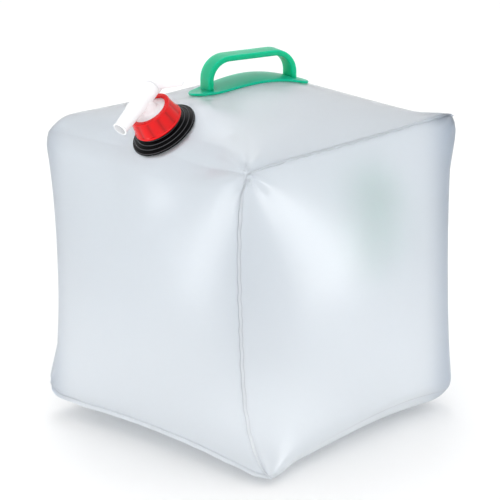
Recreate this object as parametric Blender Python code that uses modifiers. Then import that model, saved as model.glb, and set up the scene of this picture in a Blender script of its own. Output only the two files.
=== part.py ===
"""Collapsible cube water carrier with a threaded neck, a screwed-on tap and two carrying handles.

Metres, +Z up. The filled carrier stands on z = 0 with the origin on the floor under its middle.
Its front panel faces -Y, its right panel +X, and the neck leans out over the top front fold.
The bag is two formed film halves of three panels each, welded together along six cube edges.
"""
import math

import bmesh
import bpy
import numpy as np
from mathutils import Matrix, Vector

# Clearance between pieces that touch, the wider one under a handle's plate, whose facets
# don't match the film's, and the share of a cap's thickness left above and below its lever.
GAP = 0.0003
PLATE_GAP = 0.00060
LEVER_INSET = 0.0004

# The filled bag. STAND lifts the cube so far that its sagging bottom panel comes out flat.
EDGE = 0.280
STAND = 0.014
FILM = 0.0005
WELD_LIP = 0.004
WELD_GAP = 0.0003
LIP_AT_CORNER = 0.5
LIP_TURNS_FROM = 0.7
FOLD_RADIUS = 0.026
WELD_RADIUS = 0.002
FOLD_TAPER = 0.25
PANEL_CELLS = 12
EDGE_CROWDING = 0.6

# How the filled bag departs from a true cube: where its corners go, how its edges bow
# (the axis with 0 runs along the edge; bow, flatness and skew) and how its panels crown.
CORNER_SHIFT = {
    (1, -1, 1): (-0.005, -0.0035, 0.0035),
    (1, -1, -1): (0.010, 0.006, -0.0095),
    (-1, -1, 1): (-0.0055, -0.006, 0.001),
    (-1, -1, -1): (-0.0055, -0.0035, 0.0075),
    (1, 1, 1): (0.0005, -0.0018, 0.0065),
    (1, 1, -1): (0.0058, 0.0038, -0.0045),
}
EDGE_BOW = {
    (1, -1, 0): ((-0.022, 0.002, 0.0), 3.6, -0.4),
    (-1, -1, 0): ((0.0078, 0.0078, 0.0), 2.2, 0.3),
    (1, 1, 0): ((-0.0035, -0.0035, 0.0), 2.2, -1.1),
    (-1, 1, 0): ((0.007, -0.007, 0.0), 2.2, 0.0),
    (0, -1, -1): ((0.0, 0.004, 0.0095), 2.2, 0.5),
    (0, -1, 1): ((0.0, 0.006, -0.003), 2.2, 0.0),
    (0, 1, -1): ((0.0, -0.004, 0.005), 2.2, 0.0),
    (0, 1, 1): ((0.0, -0.006, -0.0145), 9.0, 0.0),
    (1, 0, -1): ((-0.004, 0.0, 0.0085), 2.2, 0.35),
    (-1, 0, -1): ((0.004, 0.0, 0.005), 2.2, 0.0),
    (1, 0, 1): ((-0.006, 0.0, -0.005), 2.2, 0.0),
    (-1, 0, 1): ((0.006, 0.0, -0.0112), 2.2, 0.0),
}
PANEL_CROWN = {
    (0, 1): 0.016, (0, -1): 0.016, (1, 1): 0.016, (1, -1): 0.016, (2, 1): 0.0305, (2, -1): 0.022,
}
CROWN_RIDGE = 1.5
CORNER_DEPTH = 0.006
CORNER_REACH = 0.014
HANDLE_LIFT = 0.015
LIFT_AT = (-0.002, 0.016)
LIFT_REACH = 0.062
BOW_SPREAD = 2.0
UPPER_POLE = (-1, -1, 1)
LOWER_POLE = (1, 1, -1)
WELD_CORNERS = ((1, -1, 1), (1, 1, 1), (-1, 1, 1), (-1, 1, -1), (-1, -1, -1), (1, -1, -1))
FOLDS = ((0, -1, 1), (-1, 0, 1), (-1, -1, 0), (0, 1, -1), (1, 0, -1), (1, 1, 0))

# The neck: where it sits on the top panel (shares of half the edge), how far it leans
# to the front, how far that lean turns to the left, and the flat seat pressed in the film.
NECK_PLACE = (0.065, -0.8365, 1.0)
NECK_LEAN = math.radians(35.5)
NECK_TURN = math.radians(9.0)
SEAT_SINK = 0.0010
SEAT_RADIUS = 0.040
SEAT_BLEND = 0.030
SEAT_CUTS = 2

# The neck collar, heights measured from the film's outer skin along the neck.
FLANGE_RADIUS = 0.032
RIDGES = 4
RIDGE_INNER_RADIUS = 0.0215
RIDGE_TOP = 0.0084
RIDGE_FOOT = 0.0021
RIDGE_CREST = 0.0010
RIDGE_EDGE = 0.0004
RIDGE_SLOPE = 0.0012
RIDGE_DROP = 0.0010
NECK_BORE = 0.0150
NECK_ROOT = 0.0172
NECK_TOP = 0.0208
SPIGOT_RADIUS = 0.0187
SPIGOT_BEAD = 0.0013
NECK_SEAL_RADIUS = 0.028
NECK_SEAL_THICK = 0.0012
BACKING_RADIUS = 0.030
BACKING_THICK = 0.003
NECK_CHAMFER = 0.0005

# The screw thread between neck and closure ring.
THREAD_PITCH = 0.004
THREAD_TURNS = 1.5
THREAD_DEPTH = 0.0011
THREAD_WIRE = 0.0009
THREAD_CLEAR = 0.0005
THREAD_START = 0.0125
THREAD_STEPS = 24

# The closure ring.
RING_FOOT_RADIUS = 0.0237
RING_TOP_RADIUS = 0.0205
RING_HEIGHT = 0.0172
RING_LIP = 0.002
RING_OPENING = 0.0160
RING_CHAMFER = 0.0006
RING_FLUTES = 12
RING_FLUTE_DEPTH = 0.0003

# The tap.
GASKET_THICK = 0.0015
GASKET_INNER = 0.0145
TAP_FLANGE_RADIUS = 0.0172
TAP_FLANGE_THICK = 0.0025
TAP_PILOT_LENGTH = 0.003
TAP_PILOT_WALL = 0.0035
TAP_TUBE_RADIUS = 0.0076
TAP_TUBE_BORE = 0.0045
TAP_TUBE_FILLET = 0.002
TAP_EDGE = 0.0005
TAP_RISE = 0.0119
BARREL_RADIUS = 0.008
BARREL_UP = 0.016
SPOUT_DOWN = 0.037
SPOUT_RADIUS = 0.0069
SPOUT_BORE = 0.0057
SPOUT_LIP = 0.001
SHOULDER_START = 0.002
SHOULDER_LENGTH = 0.003
KEY_BORE = 0.00525
KEY_DOWN = 0.012

# The key that opens the tap.
PORT_RADIUS = 0.0026
KEY_HOLLOW = 0.0032
KEY_LIP = 0.0013
SEAL_GROOVE = 0.0011
SEAL_PLACES = {"key_seal_upper": -0.0085, "key_seal_lower": 0.0078}
CAP_RADIUS = 0.0084
CAP_EDGE = 0.001
LEVER_THICK = 0.004
LEVER_LENGTH = 0.045
LEVER_ROOT = 0.0045
LEVER_TIP = 0.0068
LEVER_ANGLE = math.radians(14.0)

# The carrying handles.
PLATE_LENGTH = 0.121
PLATE_WIDTH = 0.042
PLATE_THICK = 0.0024
GRIP_SPAN = 0.093
GRIP_WIDTH = 0.019
GRIP_THICK = 0.0055
GRIP_HEIGHT = 0.0262
GRIP_CORNER = 0.023
GRIP_ROUNDING = 0.0014
TOP_HANDLE_AT = (-0.0011, -0.0010)
TOP_HANDLE_HEADING = math.radians(72.0)
REAR_HANDLE_AT = (0.017, 0.162)
REAR_HANDLE_HEADING = math.radians(90.0)

# Steps of a turn.
TURN_STEPS = 32
COLLAR_STEPS = 36
KEY_STEPS = 28
BORE_STEPS = 24
SEAL_STEPS = 24

HALF = EDGE / 2


def clear_scene():
    for item in list(bpy.data.objects):
        bpy.data.objects.remove(item)
    for group in list(bpy.data.collections):
        bpy.data.collections.remove(group)


def new_collection(name):
    group = bpy.data.collections.new(name)
    bpy.context.scene.collection.children.link(group)
    return group


def new_material(name, colour, roughness, transmission=0.0):
    material = bpy.data.materials.new(name)
    material.use_nodes = True
    shader = material.node_tree.nodes["Principled BSDF"]
    shader.inputs["Base Color"].default_value = (*colour, 1.0)
    shader.inputs["Roughness"].default_value = roughness
    shader.inputs["Metallic"].default_value = 0.0
    shader.inputs["Transmission Weight"].default_value = transmission
    return material


def place(name, mesh, group, material=None, matrix=None, frame=None):
    """An object of the mesh, in the group, under the frame."""
    item = bpy.data.objects.new(name, mesh)
    group.objects.link(item)
    if material is not None:
        mesh.materials.clear()
        mesh.materials.append(material)
    if frame is not None:
        item.parent = frame
    if matrix is not None:
        item.matrix_local = matrix
    return item


def make_cutter(item):
    item.hide_render = True
    item.display_type = "WIRE"
    return item


def evaluated_mesh(item):
    """The item's mesh as its modifiers leave it, with loose caps welded."""
    bpy.context.view_layer.update()
    graph = bpy.context.evaluated_depsgraph_get()
    mesh = bpy.data.meshes.new_from_object(item.evaluated_get(graph))
    bm = bmesh.new()
    bm.from_mesh(mesh)
    bmesh.ops.remove_doubles(bm, verts=bm.verts, dist=1e-6)
    bm.to_mesh(mesh)
    bm.free()
    return mesh


def baked(item):
    """The item with its modifiers applied, or its curve turned into a mesh."""
    mesh = evaluated_mesh(item)
    copy = bpy.data.objects.new(item.name + "_mesh", mesh)
    item.users_collection[0].objects.link(copy)
    copy.parent = item.parent
    copy.matrix_local = item.matrix_local.copy()
    name = item.name
    bpy.data.objects.remove(item)
    copy.name = name
    return copy


def combine(item, other, operation):
    modifier = item.modifiers.new(operation.title(), "BOOLEAN")
    modifier.operation = operation
    modifier.solver = "EXACT"
    modifier.object = other
    return item


def shade(item, angle=40.0):
    item.data.shade_smooth()
    item.data.set_sharp_from_angle(angle=math.radians(angle))
    return item


# The film's shape.


def film_point(places, seated=True):
    """Where places on the flat cube (-1 to 1 on each axis) lie on the filled bag's inner skin."""
    p = np.atleast_2d(np.asarray(places, float))
    point = p * HALF
    for signs, shift in CORNER_SHIFT.items():
        weight = np.prod((1 + p * signs) / 2, axis=1)
        point += weight[:, None] * shift
    for signs in WELD_CORNERS:
        reach = np.linalg.norm(p - signs, axis=1) * HALF / CORNER_REACH
        point -= CORNER_DEPTH * np.exp(-reach ** 2)[:, None] * np.array(signs) / math.sqrt(3)
    for signs, (bow, flatness, skew) in EDGE_BOW.items():
        along = p[:, signs.index(0)]
        weight = (1 - np.abs(along) ** flatness) * (1 + skew * along)
        for axis in range(3):
            if signs[axis]:
                weight = weight * ((1 + signs[axis] * p[:, axis]) / 2) ** BOW_SPREAD
        point += weight[:, None] * bow
    for (axis, sign), height in PANEL_CROWN.items():
        on_panel = np.abs(p[:, axis] - sign) < 1e-6
        point[:, axis] += sign * height * crown(p, axis) * on_panel
    aside = p[:, :2] * HALF - LIFT_AT
    lifted = np.exp(-(np.linalg.norm(aside, axis=1) / LIFT_REACH) ** 2)
    point[:, 2] += HANDLE_LIFT * lifted * ((1 + p[:, 2]) / 2) ** BOW_SPREAD
    radius = edge_radius(p)[:, None]
    middle = np.clip(p * HALF, radius - HALF, HALF - radius)
    outward = p * HALF - middle
    outward /= np.linalg.norm(outward, axis=1, keepdims=True)
    point += middle + radius * outward - p * HALF
    point[:, 2] = np.maximum(point[:, 2] + HALF + STAND, FILM)
    return press_seat(point) if seated else point


def crown(p, axis):
    """0 along a panel's edges and 1 at its middle, with ridges that run to its corners."""
    across = [np.clip(1 - p[:, other] ** 2, 1e-9, 1) for other in range(3) if other != axis]
    sharp = across[0] ** -CROWN_RIDGE + across[1] ** -CROWN_RIDGE
    return (sharp / 2) ** (-1 / CROWN_RIDGE)


def edge_radius(p):
    """Radius of the nearest edge: wide on a fold, tapering to its welded end, tight on the weld."""
    radius = np.full(len(p), WELD_RADIUS)
    for signs in FOLDS:
        run = signs.index(0)
        sides = [(1 - signs[axis] * p[:, axis]) * HALF for axis in range(3) if axis != run]
        reach = np.clip((np.hypot(*sides) - FOLD_RADIUS) / (1.6 * FOLD_RADIUS), 0, 1)
        near = 1 - reach * reach * (3 - 2 * reach)
        pole = UPPER_POLE if signs in FOLDS[:3] else LOWER_POLE
        from_weld = np.clip(2 * (1 + pole[run] * p[:, run]), 0, 1)
        taper = np.clip(FOLD_TAPER + from_weld, 0, 1)
        radius = np.maximum(radius, near * taper * FOLD_RADIUS)
    return radius


def neck_axes():
    """The neck's frame: its seat on the inner skin, and its right, uphill and outward axes."""
    outward = Vector((
        -math.sin(NECK_LEAN) * math.sin(NECK_TURN),
        -math.sin(NECK_LEAN) * math.cos(NECK_TURN),
        math.cos(NECK_LEAN),
    ))
    uphill = Vector((0, 1, 0))
    uphill = (uphill - uphill.dot(outward) * outward).normalized()
    right = uphill.cross(outward)
    seat = Vector(film_point(NECK_PLACE, seated=False)[0]) - SEAT_SINK * outward
    return seat, right, uphill, outward


def press_seat(point):
    """Points near the neck, pressed flat onto its seat."""
    seat, _, _, outward = (np.array(v) for v in neck_axes())
    height = (point - seat) @ outward
    across = np.linalg.norm(point - seat - height[:, None] * outward, axis=1)
    reach = np.clip((across - SEAT_RADIUS) / SEAT_BLEND, 0, 1)
    weight = 1 - reach * reach * (3 - 2 * reach)
    weight[height < -HALF / 2] = 0
    return point - (weight * height)[:, None] * outward


def panel_matrix(axis, sign):
    """Turns a square drawn on z = 1 onto the cube's panel."""
    normal = Vector((0, 0, 0))
    normal[axis] = sign
    turn = Vector((0, 0, 1)).rotation_difference(normal).to_matrix().to_4x4()
    return turn @ Matrix.Translation((0, 0, 1))


def crowded(values):
    """Spreads even places from -1 to 1 so that they lie closer together near the edges."""
    return EDGE_CROWDING * np.sin(values * math.pi / 2) + (1 - EDGE_CROWDING) * values


def lip_way(place, pole, tangent):
    """The way the weld's lip points, between the panels on both its sides and square to the weld.
    It turns smoothly into each corner, over the last stretch."""
    own, other = Vector((0, 0, 0)), Vector((0, 0, 0))
    corner = 1.0
    for axis in range(3):
        near = (abs(float(place[axis])) - LIP_TURNS_FROM) / (1 - LIP_TURNS_FROM)
        near = min(max(near, 0.0), 1.0)
        near = near * near * (3 - 2 * near)
        side = own if place[axis] * pole[axis] > 0 else other
        side[axis] = math.copysign(near, place[axis])
        corner = min(corner, near)
    lip = own.normalized() + other.normalized()
    return (lip - (1 - corner) * lip.dot(tangent) * tangent).normalized()


def lip_share(place):
    """How much of the lip's width is left near a corner, where it is cut round."""
    from_corner = HALF * np.linalg.norm(np.abs(place) - 1)
    return 1 - (1 - LIP_AT_CORNER) * math.exp(-(from_corner / CORNER_REACH) ** 2)


def off_weld(point, place, pole, lip, neighbours):
    """The way off the weld's middle that leaves a gap of one to the weld on both sides of a point."""
    normals = []
    for spot, there in neighbours:
        on_panel = np.minimum(place * pole, spot * pole) > 1 - 1e-5
        normal = (there - point).cross(lip).normalized()
        normals.append(normal * math.copysign(1, normal.dot(Vector(on_panel * pole))))
    return (normals[0] + normals[1]) / (1 + normals[0].dot(normals[1]))


def refine_seat(bm):
    """Smaller cells round the neck, where the film is pressed flat."""
    reach = (SEAT_RADIUS + SEAT_BLEND) / HALF
    edges = [
        edge for edge in bm.edges
        if all(np.linalg.norm(crowded(np.array(vert.co)) - NECK_PLACE) < reach for vert in edge.verts)
    ]
    bmesh.ops.subdivide_edges(bm, edges=edges, cuts=round(SEAT_CUTS), use_grid_fill=True)


def split_lip(bm, faces, lip_verts):
    """Cuts each face of the lip along the same diagonal in both halves, so that they lie together."""
    for face in faces:
        rim = sorted((v for v in face.verts if v not in lip_verts), key=lambda v: sum(v.co))
        far = sorted((v for v in face.verts if v in lip_verts), key=lambda v: sum(v.co))
        bmesh.ops.connect_vert_pair(bm, verts=[rim[0], far[-1]])


def film_half(name, pole, material, group):
    """Three panels round one pole, with the weld's lip, as an open skin thickened outward."""
    bm = bmesh.new()
    for axis in range(3):
        bmesh.ops.create_grid(
            bm, x_segments=PANEL_CELLS, y_segments=PANEL_CELLS, size=1.0,
            matrix=panel_matrix(axis, pole[axis]),
        )
    bmesh.ops.remove_doubles(bm, verts=bm.verts, dist=1e-4)
    refine_seat(bm)
    rim = [edge for edge in bm.edges if edge.is_boundary]
    beside = {}
    for edge in rim:
        for vert in edge.verts:
            beside.setdefault(vert, []).append(edge.other_vert(vert))
    made = bmesh.ops.extrude_edge_only(bm, edges=rim)
    lip_verts = {item for item in made["geom"] if isinstance(item, bmesh.types.BMVert)}
    split_lip(bm, [item for item in made["geom"] if isinstance(item, bmesh.types.BMFace)], lip_verts)
    verts = list(bm.verts)
    places = crowded(np.clip(np.array([vert.co[:] for vert in verts]), -1, 1))
    points = dict(zip(verts, (Vector(point) for point in film_point(places))))
    spots = dict(zip(verts, places))
    rim_of = {vert: vert for vert in beside}
    for vert in lip_verts:
        rim_of[vert] = next(other for edge in vert.link_edges
                            for other in [edge.other_vert(vert)]
                            if other in beside and (spots[other] == spots[vert]).all())
    for vert in verts:
        vert.co = points[vert]
        if vert in rim_of:
            neighbours = [(spots[other], points[other]) for other in beside[rim_of[vert]]]
            tangent = (neighbours[1][1] - neighbours[0][1]).normalized()
            lip = lip_way(spots[vert], pole, tangent)
            vert.co += off_weld(points[vert], spots[vert], pole, lip, neighbours) * WELD_GAP / 2
            if vert in lip_verts:
                vert.co += lip * WELD_LIP * lip_share(spots[vert])
    mesh = bpy.data.meshes.new(name)
    bm.to_mesh(mesh)
    bm.free()
    item = shade(place(name, mesh, group, material), 50)
    skin = item.modifiers.new("Film", "SOLIDIFY")
    skin.thickness = FILM
    skin.offset = 1.0
    skin.use_even_offset = True
    return item


# Turned, cut and swept pieces.


def turned(name, profile, group, material=None, matrix=None, frame=None, steps=TURN_STEPS):
    """A profile of (radius, height) turned about Z. It runs down its outer side and up its
    inner one, or from the axis out, down, and back to the axis."""
    bm = bmesh.new()
    verts = [bm.verts.new((radius, 0, height)) for radius, height in profile]
    solid_core = profile[0][0] == profile[-1][0] == 0
    for here, there in zip(verts, verts[1:] if solid_core else verts[1:] + verts[:1]):
        bm.edges.new((here, there))
    mesh = bpy.data.meshes.new(name)
    bm.to_mesh(mesh)
    bm.free()
    item = place(name, mesh, group, material, matrix, frame)
    screw = item.modifiers.new("Turn", "SCREW")
    screw.steps = steps
    screw.render_steps = steps
    screw.use_merge_vertices = True
    screw.merge_threshold = 1e-5
    item = baked(item)
    return shade(item, 35)


def cylinder(name, radius, start, end, group, matrix=None, frame=None, steps=TURN_STEPS):
    """A solid cylinder about Z from one height to the other."""
    bm = bmesh.new()
    bmesh.ops.create_cone(
        bm, cap_ends=True, segments=steps, radius1=radius, radius2=radius, depth=end - start,
        matrix=Matrix.Translation((0, 0, (start + end) / 2)),
    )
    mesh = bpy.data.meshes.new(name)
    bm.to_mesh(mesh)
    bm.free()
    return place(name, mesh, group, None, matrix, frame)


def helix(name, radius, start, group, frame):
    """One thread: a round wire along a helix of the thread's pitch and turns."""
    curve = bpy.data.curves.new(name, "CURVE")
    curve.dimensions = "3D"
    curve.bevel_depth = THREAD_WIRE
    curve.bevel_resolution = 1
    curve.use_fill_caps = True
    spline = curve.splines.new("POLY")
    count = round(THREAD_TURNS * THREAD_STEPS) + 1
    spline.points.add(count - 1)
    for index, point in enumerate(spline.points):
        share = index / (count - 1)
        angle = 2 * math.pi * THREAD_TURNS * share
        height = start + THREAD_PITCH * THREAD_TURNS * share
        point.co = (radius * math.cos(angle), radius * math.sin(angle), height, 1)
    item = bpy.data.objects.new(name, curve)
    group.objects.link(item)
    item.parent = frame
    return make_cutter(baked(item))


def flat_shape(name, outline, thickness, group, matrix=None, frame=None):
    """A closed outline of (x, y) made solid, half its thickness each side of z = 0."""
    curve = bpy.data.curves.new(name, "CURVE")
    curve.dimensions = "2D"
    curve.fill_mode = "BOTH"
    curve.extrude = thickness / 2
    spline = curve.splines.new("POLY")
    spline.use_cyclic_u = True
    spline.points.add(len(outline) - 1)
    for point, (x, y) in zip(spline.points, outline):
        point.co = (x, y, 0, 1)
    item = bpy.data.objects.new(name, curve)
    group.objects.link(item)
    item.parent = frame
    if matrix is not None:
        item.matrix_local = matrix
    return baked(item)


def arc(centre, radius, start, end, steps):
    """Points on an arc, angles in degrees."""
    angles = np.radians(np.linspace(start, end, steps + 1))
    return [(centre[0] + radius * math.cos(a), centre[1] + radius * math.sin(a)) for a in angles]


# The neck and its closure, in the neck's frame: z = 0 on the film's outer skin.


def ridge_profile():
    """The collar's stepped ridges, from the neck's foot down to the flange's rim."""
    points = []
    for index in range(RIDGES):
        share = index / (RIDGES - 1)
        radius = RIDGE_INNER_RADIUS + (FLANGE_RADIUS - RIDGE_INNER_RADIUS) * share
        height = RIDGE_TOP + (RIDGE_FOOT - RIDGE_TOP) * share
        crest = radius - RIDGE_EDGE
        points += [
            (crest - RIDGE_CREST - RIDGE_SLOPE, height - RIDGE_DROP / 2),
            (crest - RIDGE_CREST, height),
            (crest, height - RIDGE_EDGE / 2),
            (radius, height - RIDGE_DROP),
        ]
    return points


def neck_levels():
    """Heights of the stacked pieces above and below the film."""
    levels = {"seal_top": -FILM - GAP}
    levels["seal_foot"] = levels["seal_top"] - NECK_SEAL_THICK
    levels["backing_top"] = levels["seal_foot"] - GAP
    levels["backing_foot"] = levels["backing_top"] - BACKING_THICK
    levels["gasket_foot"] = NECK_TOP + GAP
    levels["gasket_top"] = levels["gasket_foot"] + GASKET_THICK
    levels["flange_foot"] = levels["gasket_top"] + GAP
    levels["flange_top"] = levels["flange_foot"] + TAP_FLANGE_THICK
    levels["lip_foot"] = levels["flange_top"] + GAP
    levels["ring_top"] = levels["lip_foot"] + RING_LIP
    levels["ring_foot"] = levels["ring_top"] - RING_HEIGHT
    levels["barrel"] = levels["ring_top"] + TAP_RISE
    return levels


def make_neck(group, cutters, frame, black, rubber):
    level = neck_levels()
    chamfer = NECK_CHAMFER
    bead_top = level["backing_foot"] - GAP
    bead_foot = bead_top - 2 * SPIGOT_BEAD
    profile = [
        (NECK_ROOT - chamfer, NECK_TOP),
        (NECK_ROOT, NECK_TOP - chamfer),
        (NECK_ROOT, RIDGE_TOP),
        *ridge_profile(),
        (FLANGE_RADIUS, GAP),
        (SPIGOT_RADIUS, GAP),
        (SPIGOT_RADIUS, bead_top),
        (SPIGOT_RADIUS + SPIGOT_BEAD, bead_top - chamfer),
        (SPIGOT_RADIUS + SPIGOT_BEAD, bead_top - SPIGOT_BEAD),
        (SPIGOT_RADIUS - chamfer, bead_foot),
        (NECK_BORE, bead_foot),
        (NECK_BORE, NECK_TOP - chamfer),
        (NECK_BORE + chamfer, NECK_TOP),
    ]
    collar = turned("neck_collar", profile, group, black, None, frame, COLLAR_STEPS)
    crest = NECK_ROOT + THREAD_DEPTH
    thread = helix("neck_thread", crest - THREAD_WIRE, THREAD_START, cutters, frame)
    combine(collar, thread, "UNION")
    bore = SPIGOT_RADIUS + GAP
    turned("neck_seal", [
        (NECK_SEAL_RADIUS, level["seal_top"]), (NECK_SEAL_RADIUS, level["seal_foot"]),
        (bore, level["seal_foot"]), (bore, level["seal_top"]),
    ], group, rubber, None, frame)
    turned("neck_backing_ring", [
        (BACKING_RADIUS - chamfer, level["backing_top"]),
        (BACKING_RADIUS, level["backing_top"] - chamfer),
        (BACKING_RADIUS, level["backing_foot"] + chamfer),
        (BACKING_RADIUS - chamfer, level["backing_foot"]),
        (bore, level["backing_foot"]), (bore, level["backing_top"]),
    ], group, black, None, frame)


def make_closure_ring(group, cutters, frame, red):
    level = neck_levels()
    top, foot = level["ring_top"], level["ring_foot"]
    bore = NECK_ROOT + THREAD_DEPTH + THREAD_CLEAR
    chamfer = RING_CHAMFER
    ring = turned("closure_ring", [
        (RING_TOP_RADIUS - chamfer, top),
        (RING_TOP_RADIUS, top - chamfer),
        (RING_FOOT_RADIUS, foot + chamfer),
        (RING_FOOT_RADIUS - chamfer, foot),
        (bore + chamfer, foot),
        (bore, foot + chamfer),
        (bore, level["lip_foot"]),
        (RING_OPENING, level["lip_foot"]),
        (RING_OPENING, top - chamfer),
        (RING_OPENING + chamfer, top),
    ], group, red, None, frame, 4 * RING_FLUTES)
    flute(ring, bore + chamfer / 2, RING_FLUTES, RING_FLUTE_DEPTH)
    start = THREAD_START + THREAD_PITCH / 2
    thread = helix("ring_thread", bore - THREAD_DEPTH + THREAD_WIRE, start, cutters, frame)
    combine(ring, thread, "UNION")


def flute(item, inner_radius, count, depth):
    """Soft grip flutes: every vertex outside the inner radius moves in and out round the ring."""
    for vert in item.data.vertices:
        radius = math.hypot(vert.co.x, vert.co.y)
        if radius > inner_radius:
            angle = math.atan2(vert.co.y, vert.co.x)
            scale = (radius + depth * (math.cos(count * angle) - 1)) / radius
            vert.co.x *= scale
            vert.co.y *= scale


def barrel_matrix():
    """The tap's cross barrel: its own z runs downhill, out of the spout, and its x to the right."""
    height = neck_levels()["barrel"]
    return Matrix.Translation((0, 0, height)) @ Matrix.Rotation(math.pi / 2, 4, "X")


def make_tap(group, cutters, frame, white, rubber):
    level = neck_levels()
    foot, top, axis = level["flange_foot"], level["flange_top"], level["barrel"]
    pilot = GASKET_INNER - GAP
    edge = TAP_EDGE
    body = turned("tap_body", [
        (0.0, axis - BARREL_RADIUS / 4),
        (TAP_TUBE_RADIUS, axis - BARREL_RADIUS / 4),
        (TAP_TUBE_RADIUS, top + TAP_TUBE_FILLET),
        (TAP_TUBE_RADIUS + TAP_TUBE_FILLET, top),
        (TAP_FLANGE_RADIUS - edge, top),
        (TAP_FLANGE_RADIUS, top - edge),
        (TAP_FLANGE_RADIUS, foot),
        (pilot, foot),
        (pilot, foot - TAP_PILOT_LENGTH),
        (pilot - TAP_PILOT_WALL, foot - TAP_PILOT_LENGTH),
        (pilot - TAP_PILOT_WALL, foot + edge),
        (0.0, foot + edge),
    ], group, white, None, frame)
    shoulder = KEY_DOWN + SHOULDER_START
    barrel = turned("tap_barrel", [
        (0.0, SPOUT_DOWN),
        (SPOUT_RADIUS, SPOUT_DOWN),
        (SPOUT_RADIUS, SPOUT_DOWN - SPOUT_LIP),
        (SPOUT_RADIUS - edge, SPOUT_DOWN - 2 * SPOUT_LIP),
        (SPOUT_RADIUS + edge, shoulder + SHOULDER_LENGTH),
        (BARREL_RADIUS, shoulder),
        (BARREL_RADIUS, edge - BARREL_UP),
        (BARREL_RADIUS - edge, -BARREL_UP),
        (0.0, -BARREL_UP),
    ], cutters, None, barrel_matrix(), frame)
    combine(body, make_cutter(barrel), "UNION")
    flow = turned("key_and_spout_bore", [
        (0.0, 2 * SPOUT_DOWN), (SPOUT_BORE, 2 * SPOUT_DOWN), (SPOUT_BORE, KEY_DOWN),
        (KEY_BORE, KEY_DOWN), (KEY_BORE, -2 * BARREL_UP), (0.0, -2 * BARREL_UP),
    ], cutters, None, barrel_matrix(), frame)
    start = foot - 2 * TAP_PILOT_LENGTH
    inlet = cylinder("inlet_bore", TAP_TUBE_BORE, start, axis, cutters, None, frame, BORE_STEPS)
    for cutter in (inlet, flow):
        combine(body, make_cutter(cutter), "DIFFERENCE")
    turned("tap_gasket", [
        (TAP_FLANGE_RADIUS - GAP, level["gasket_top"]), (TAP_FLANGE_RADIUS - GAP, level["gasket_foot"]),
        (GASKET_INNER, level["gasket_foot"]), (GASKET_INNER, level["gasket_top"]),
    ], group, rubber, None, frame)


def lever_outline():
    """The lever seen along the key: a rounded paddle that widens to its tip."""
    tip = LEVER_LENGTH - LEVER_TIP
    outline = arc((tip, 0), LEVER_TIP, -85, 85, 8)
    outline += arc((0, 0), LEVER_ROOT, 95, 265, 6)
    turn = LEVER_ANGLE
    return [
        (x * math.cos(turn) - y * math.sin(turn), x * math.sin(turn) + y * math.cos(turn))
        for x, y in outline
    ]


def make_key(group, cutters, frame, white, rubber):
    """The key is drawn closed: its port looks sideways and its lever lies across the neck."""
    plug = KEY_BORE - GAP
    groove = plug - SEAL_GROOVE
    cap_foot = -BARREL_UP - GAP
    cap_top = cap_foot - LEVER_THICK
    lip_top = KEY_DOWN + GAP
    profile = [
        (0.0, lip_top + KEY_LIP),
        (plug, lip_top + KEY_LIP),
        (SPOUT_BORE - GAP, lip_top + KEY_LIP / 2),
        (SPOUT_BORE - GAP, lip_top),
        (plug, lip_top),
    ]
    for middle in sorted(SEAL_PLACES.values(), reverse=True):
        start, end = middle + (SEAL_GROOVE + GAP) / 2, middle - (SEAL_GROOVE + GAP) / 2
        profile += [(plug, start), (groove, start), (groove, end), (plug, end)]
    profile += [
        (plug, cap_foot),
        (CAP_RADIUS, cap_foot),
        (CAP_RADIUS, cap_top + CAP_EDGE),
        (CAP_RADIUS - CAP_EDGE, cap_top),
        (0.0, cap_top),
    ]
    barrel = barrel_matrix()
    key = turned("tap_key", profile, group, white, barrel, frame, KEY_STEPS)
    layer = barrel @ Matrix.Translation((0, 0, cap_foot - LEVER_THICK / 2))
    thickness = LEVER_THICK - 2 * LEVER_INSET
    lever = flat_shape("lever", lever_outline(), thickness, cutters, layer, frame)
    combine(key, make_cutter(lever), "UNION")
    length = 2 * KEY_DOWN
    hollow = cylinder("key_hollow", KEY_HOLLOW, -KEY_HOLLOW, length, cutters, barrel, frame, BORE_STEPS)
    sideways = barrel @ Matrix.Rotation(-math.pi / 2, 4, "Y")
    port = cylinder("key_port", PORT_RADIUS, 0, 2 * KEY_BORE, cutters, sideways, frame, BORE_STEPS)
    for cutter in (hollow, port):
        combine(key, make_cutter(cutter), "DIFFERENCE")
    wire = (SEAL_GROOVE - GAP) / 2
    for name, middle in SEAL_PLACES.items():
        section = arc((groove + GAP + wire, middle), wire, 90, -210, 5)
        turned(name, section, group, rubber, barrel, frame, SEAL_STEPS)


# The handles, in their panel's frame: x along the grip, z out of the bag.


def drop(film, start, way):
    """Where a straight line from outside meets the film's outer skin."""
    graph = bpy.context.evaluated_depsgraph_get()
    _, spot, _, _ = film.evaluated_get(graph).ray_cast(start, way)
    return spot


def handle_frame(film, axis, at, heading):
    """The handle's place on its panel: x along the grip, z out of the bag, on the outer skin."""
    others = [other for other in range(3) if other != axis]
    along, out, start = Vector((0, 0, 0)), Vector((0, 0, 0)), Vector((0, 0, 0))
    along[others[0]], along[others[1]] = math.cos(heading), math.sin(heading)
    out[axis] = 1
    start[others[0]], start[others[1]] = at
    turn = Matrix((along, out.cross(along), out)).transposed().to_4x4()
    return Matrix.Translation(drop(film, start + 2 * EDGE * out, -out)) @ turn


def laid_on(film, matrix, flat, lift):
    """Places (x, y) of the handle's frame dropped onto the film, and lifted off its outer skin."""
    out = matrix.col[2].xyz
    inverse = matrix.inverted()
    spots = [drop(film, matrix @ Vector((x, y, EDGE)), -out) for x, y in flat]
    return [inverse @ (spot + out * lift) for spot in spots]


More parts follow.
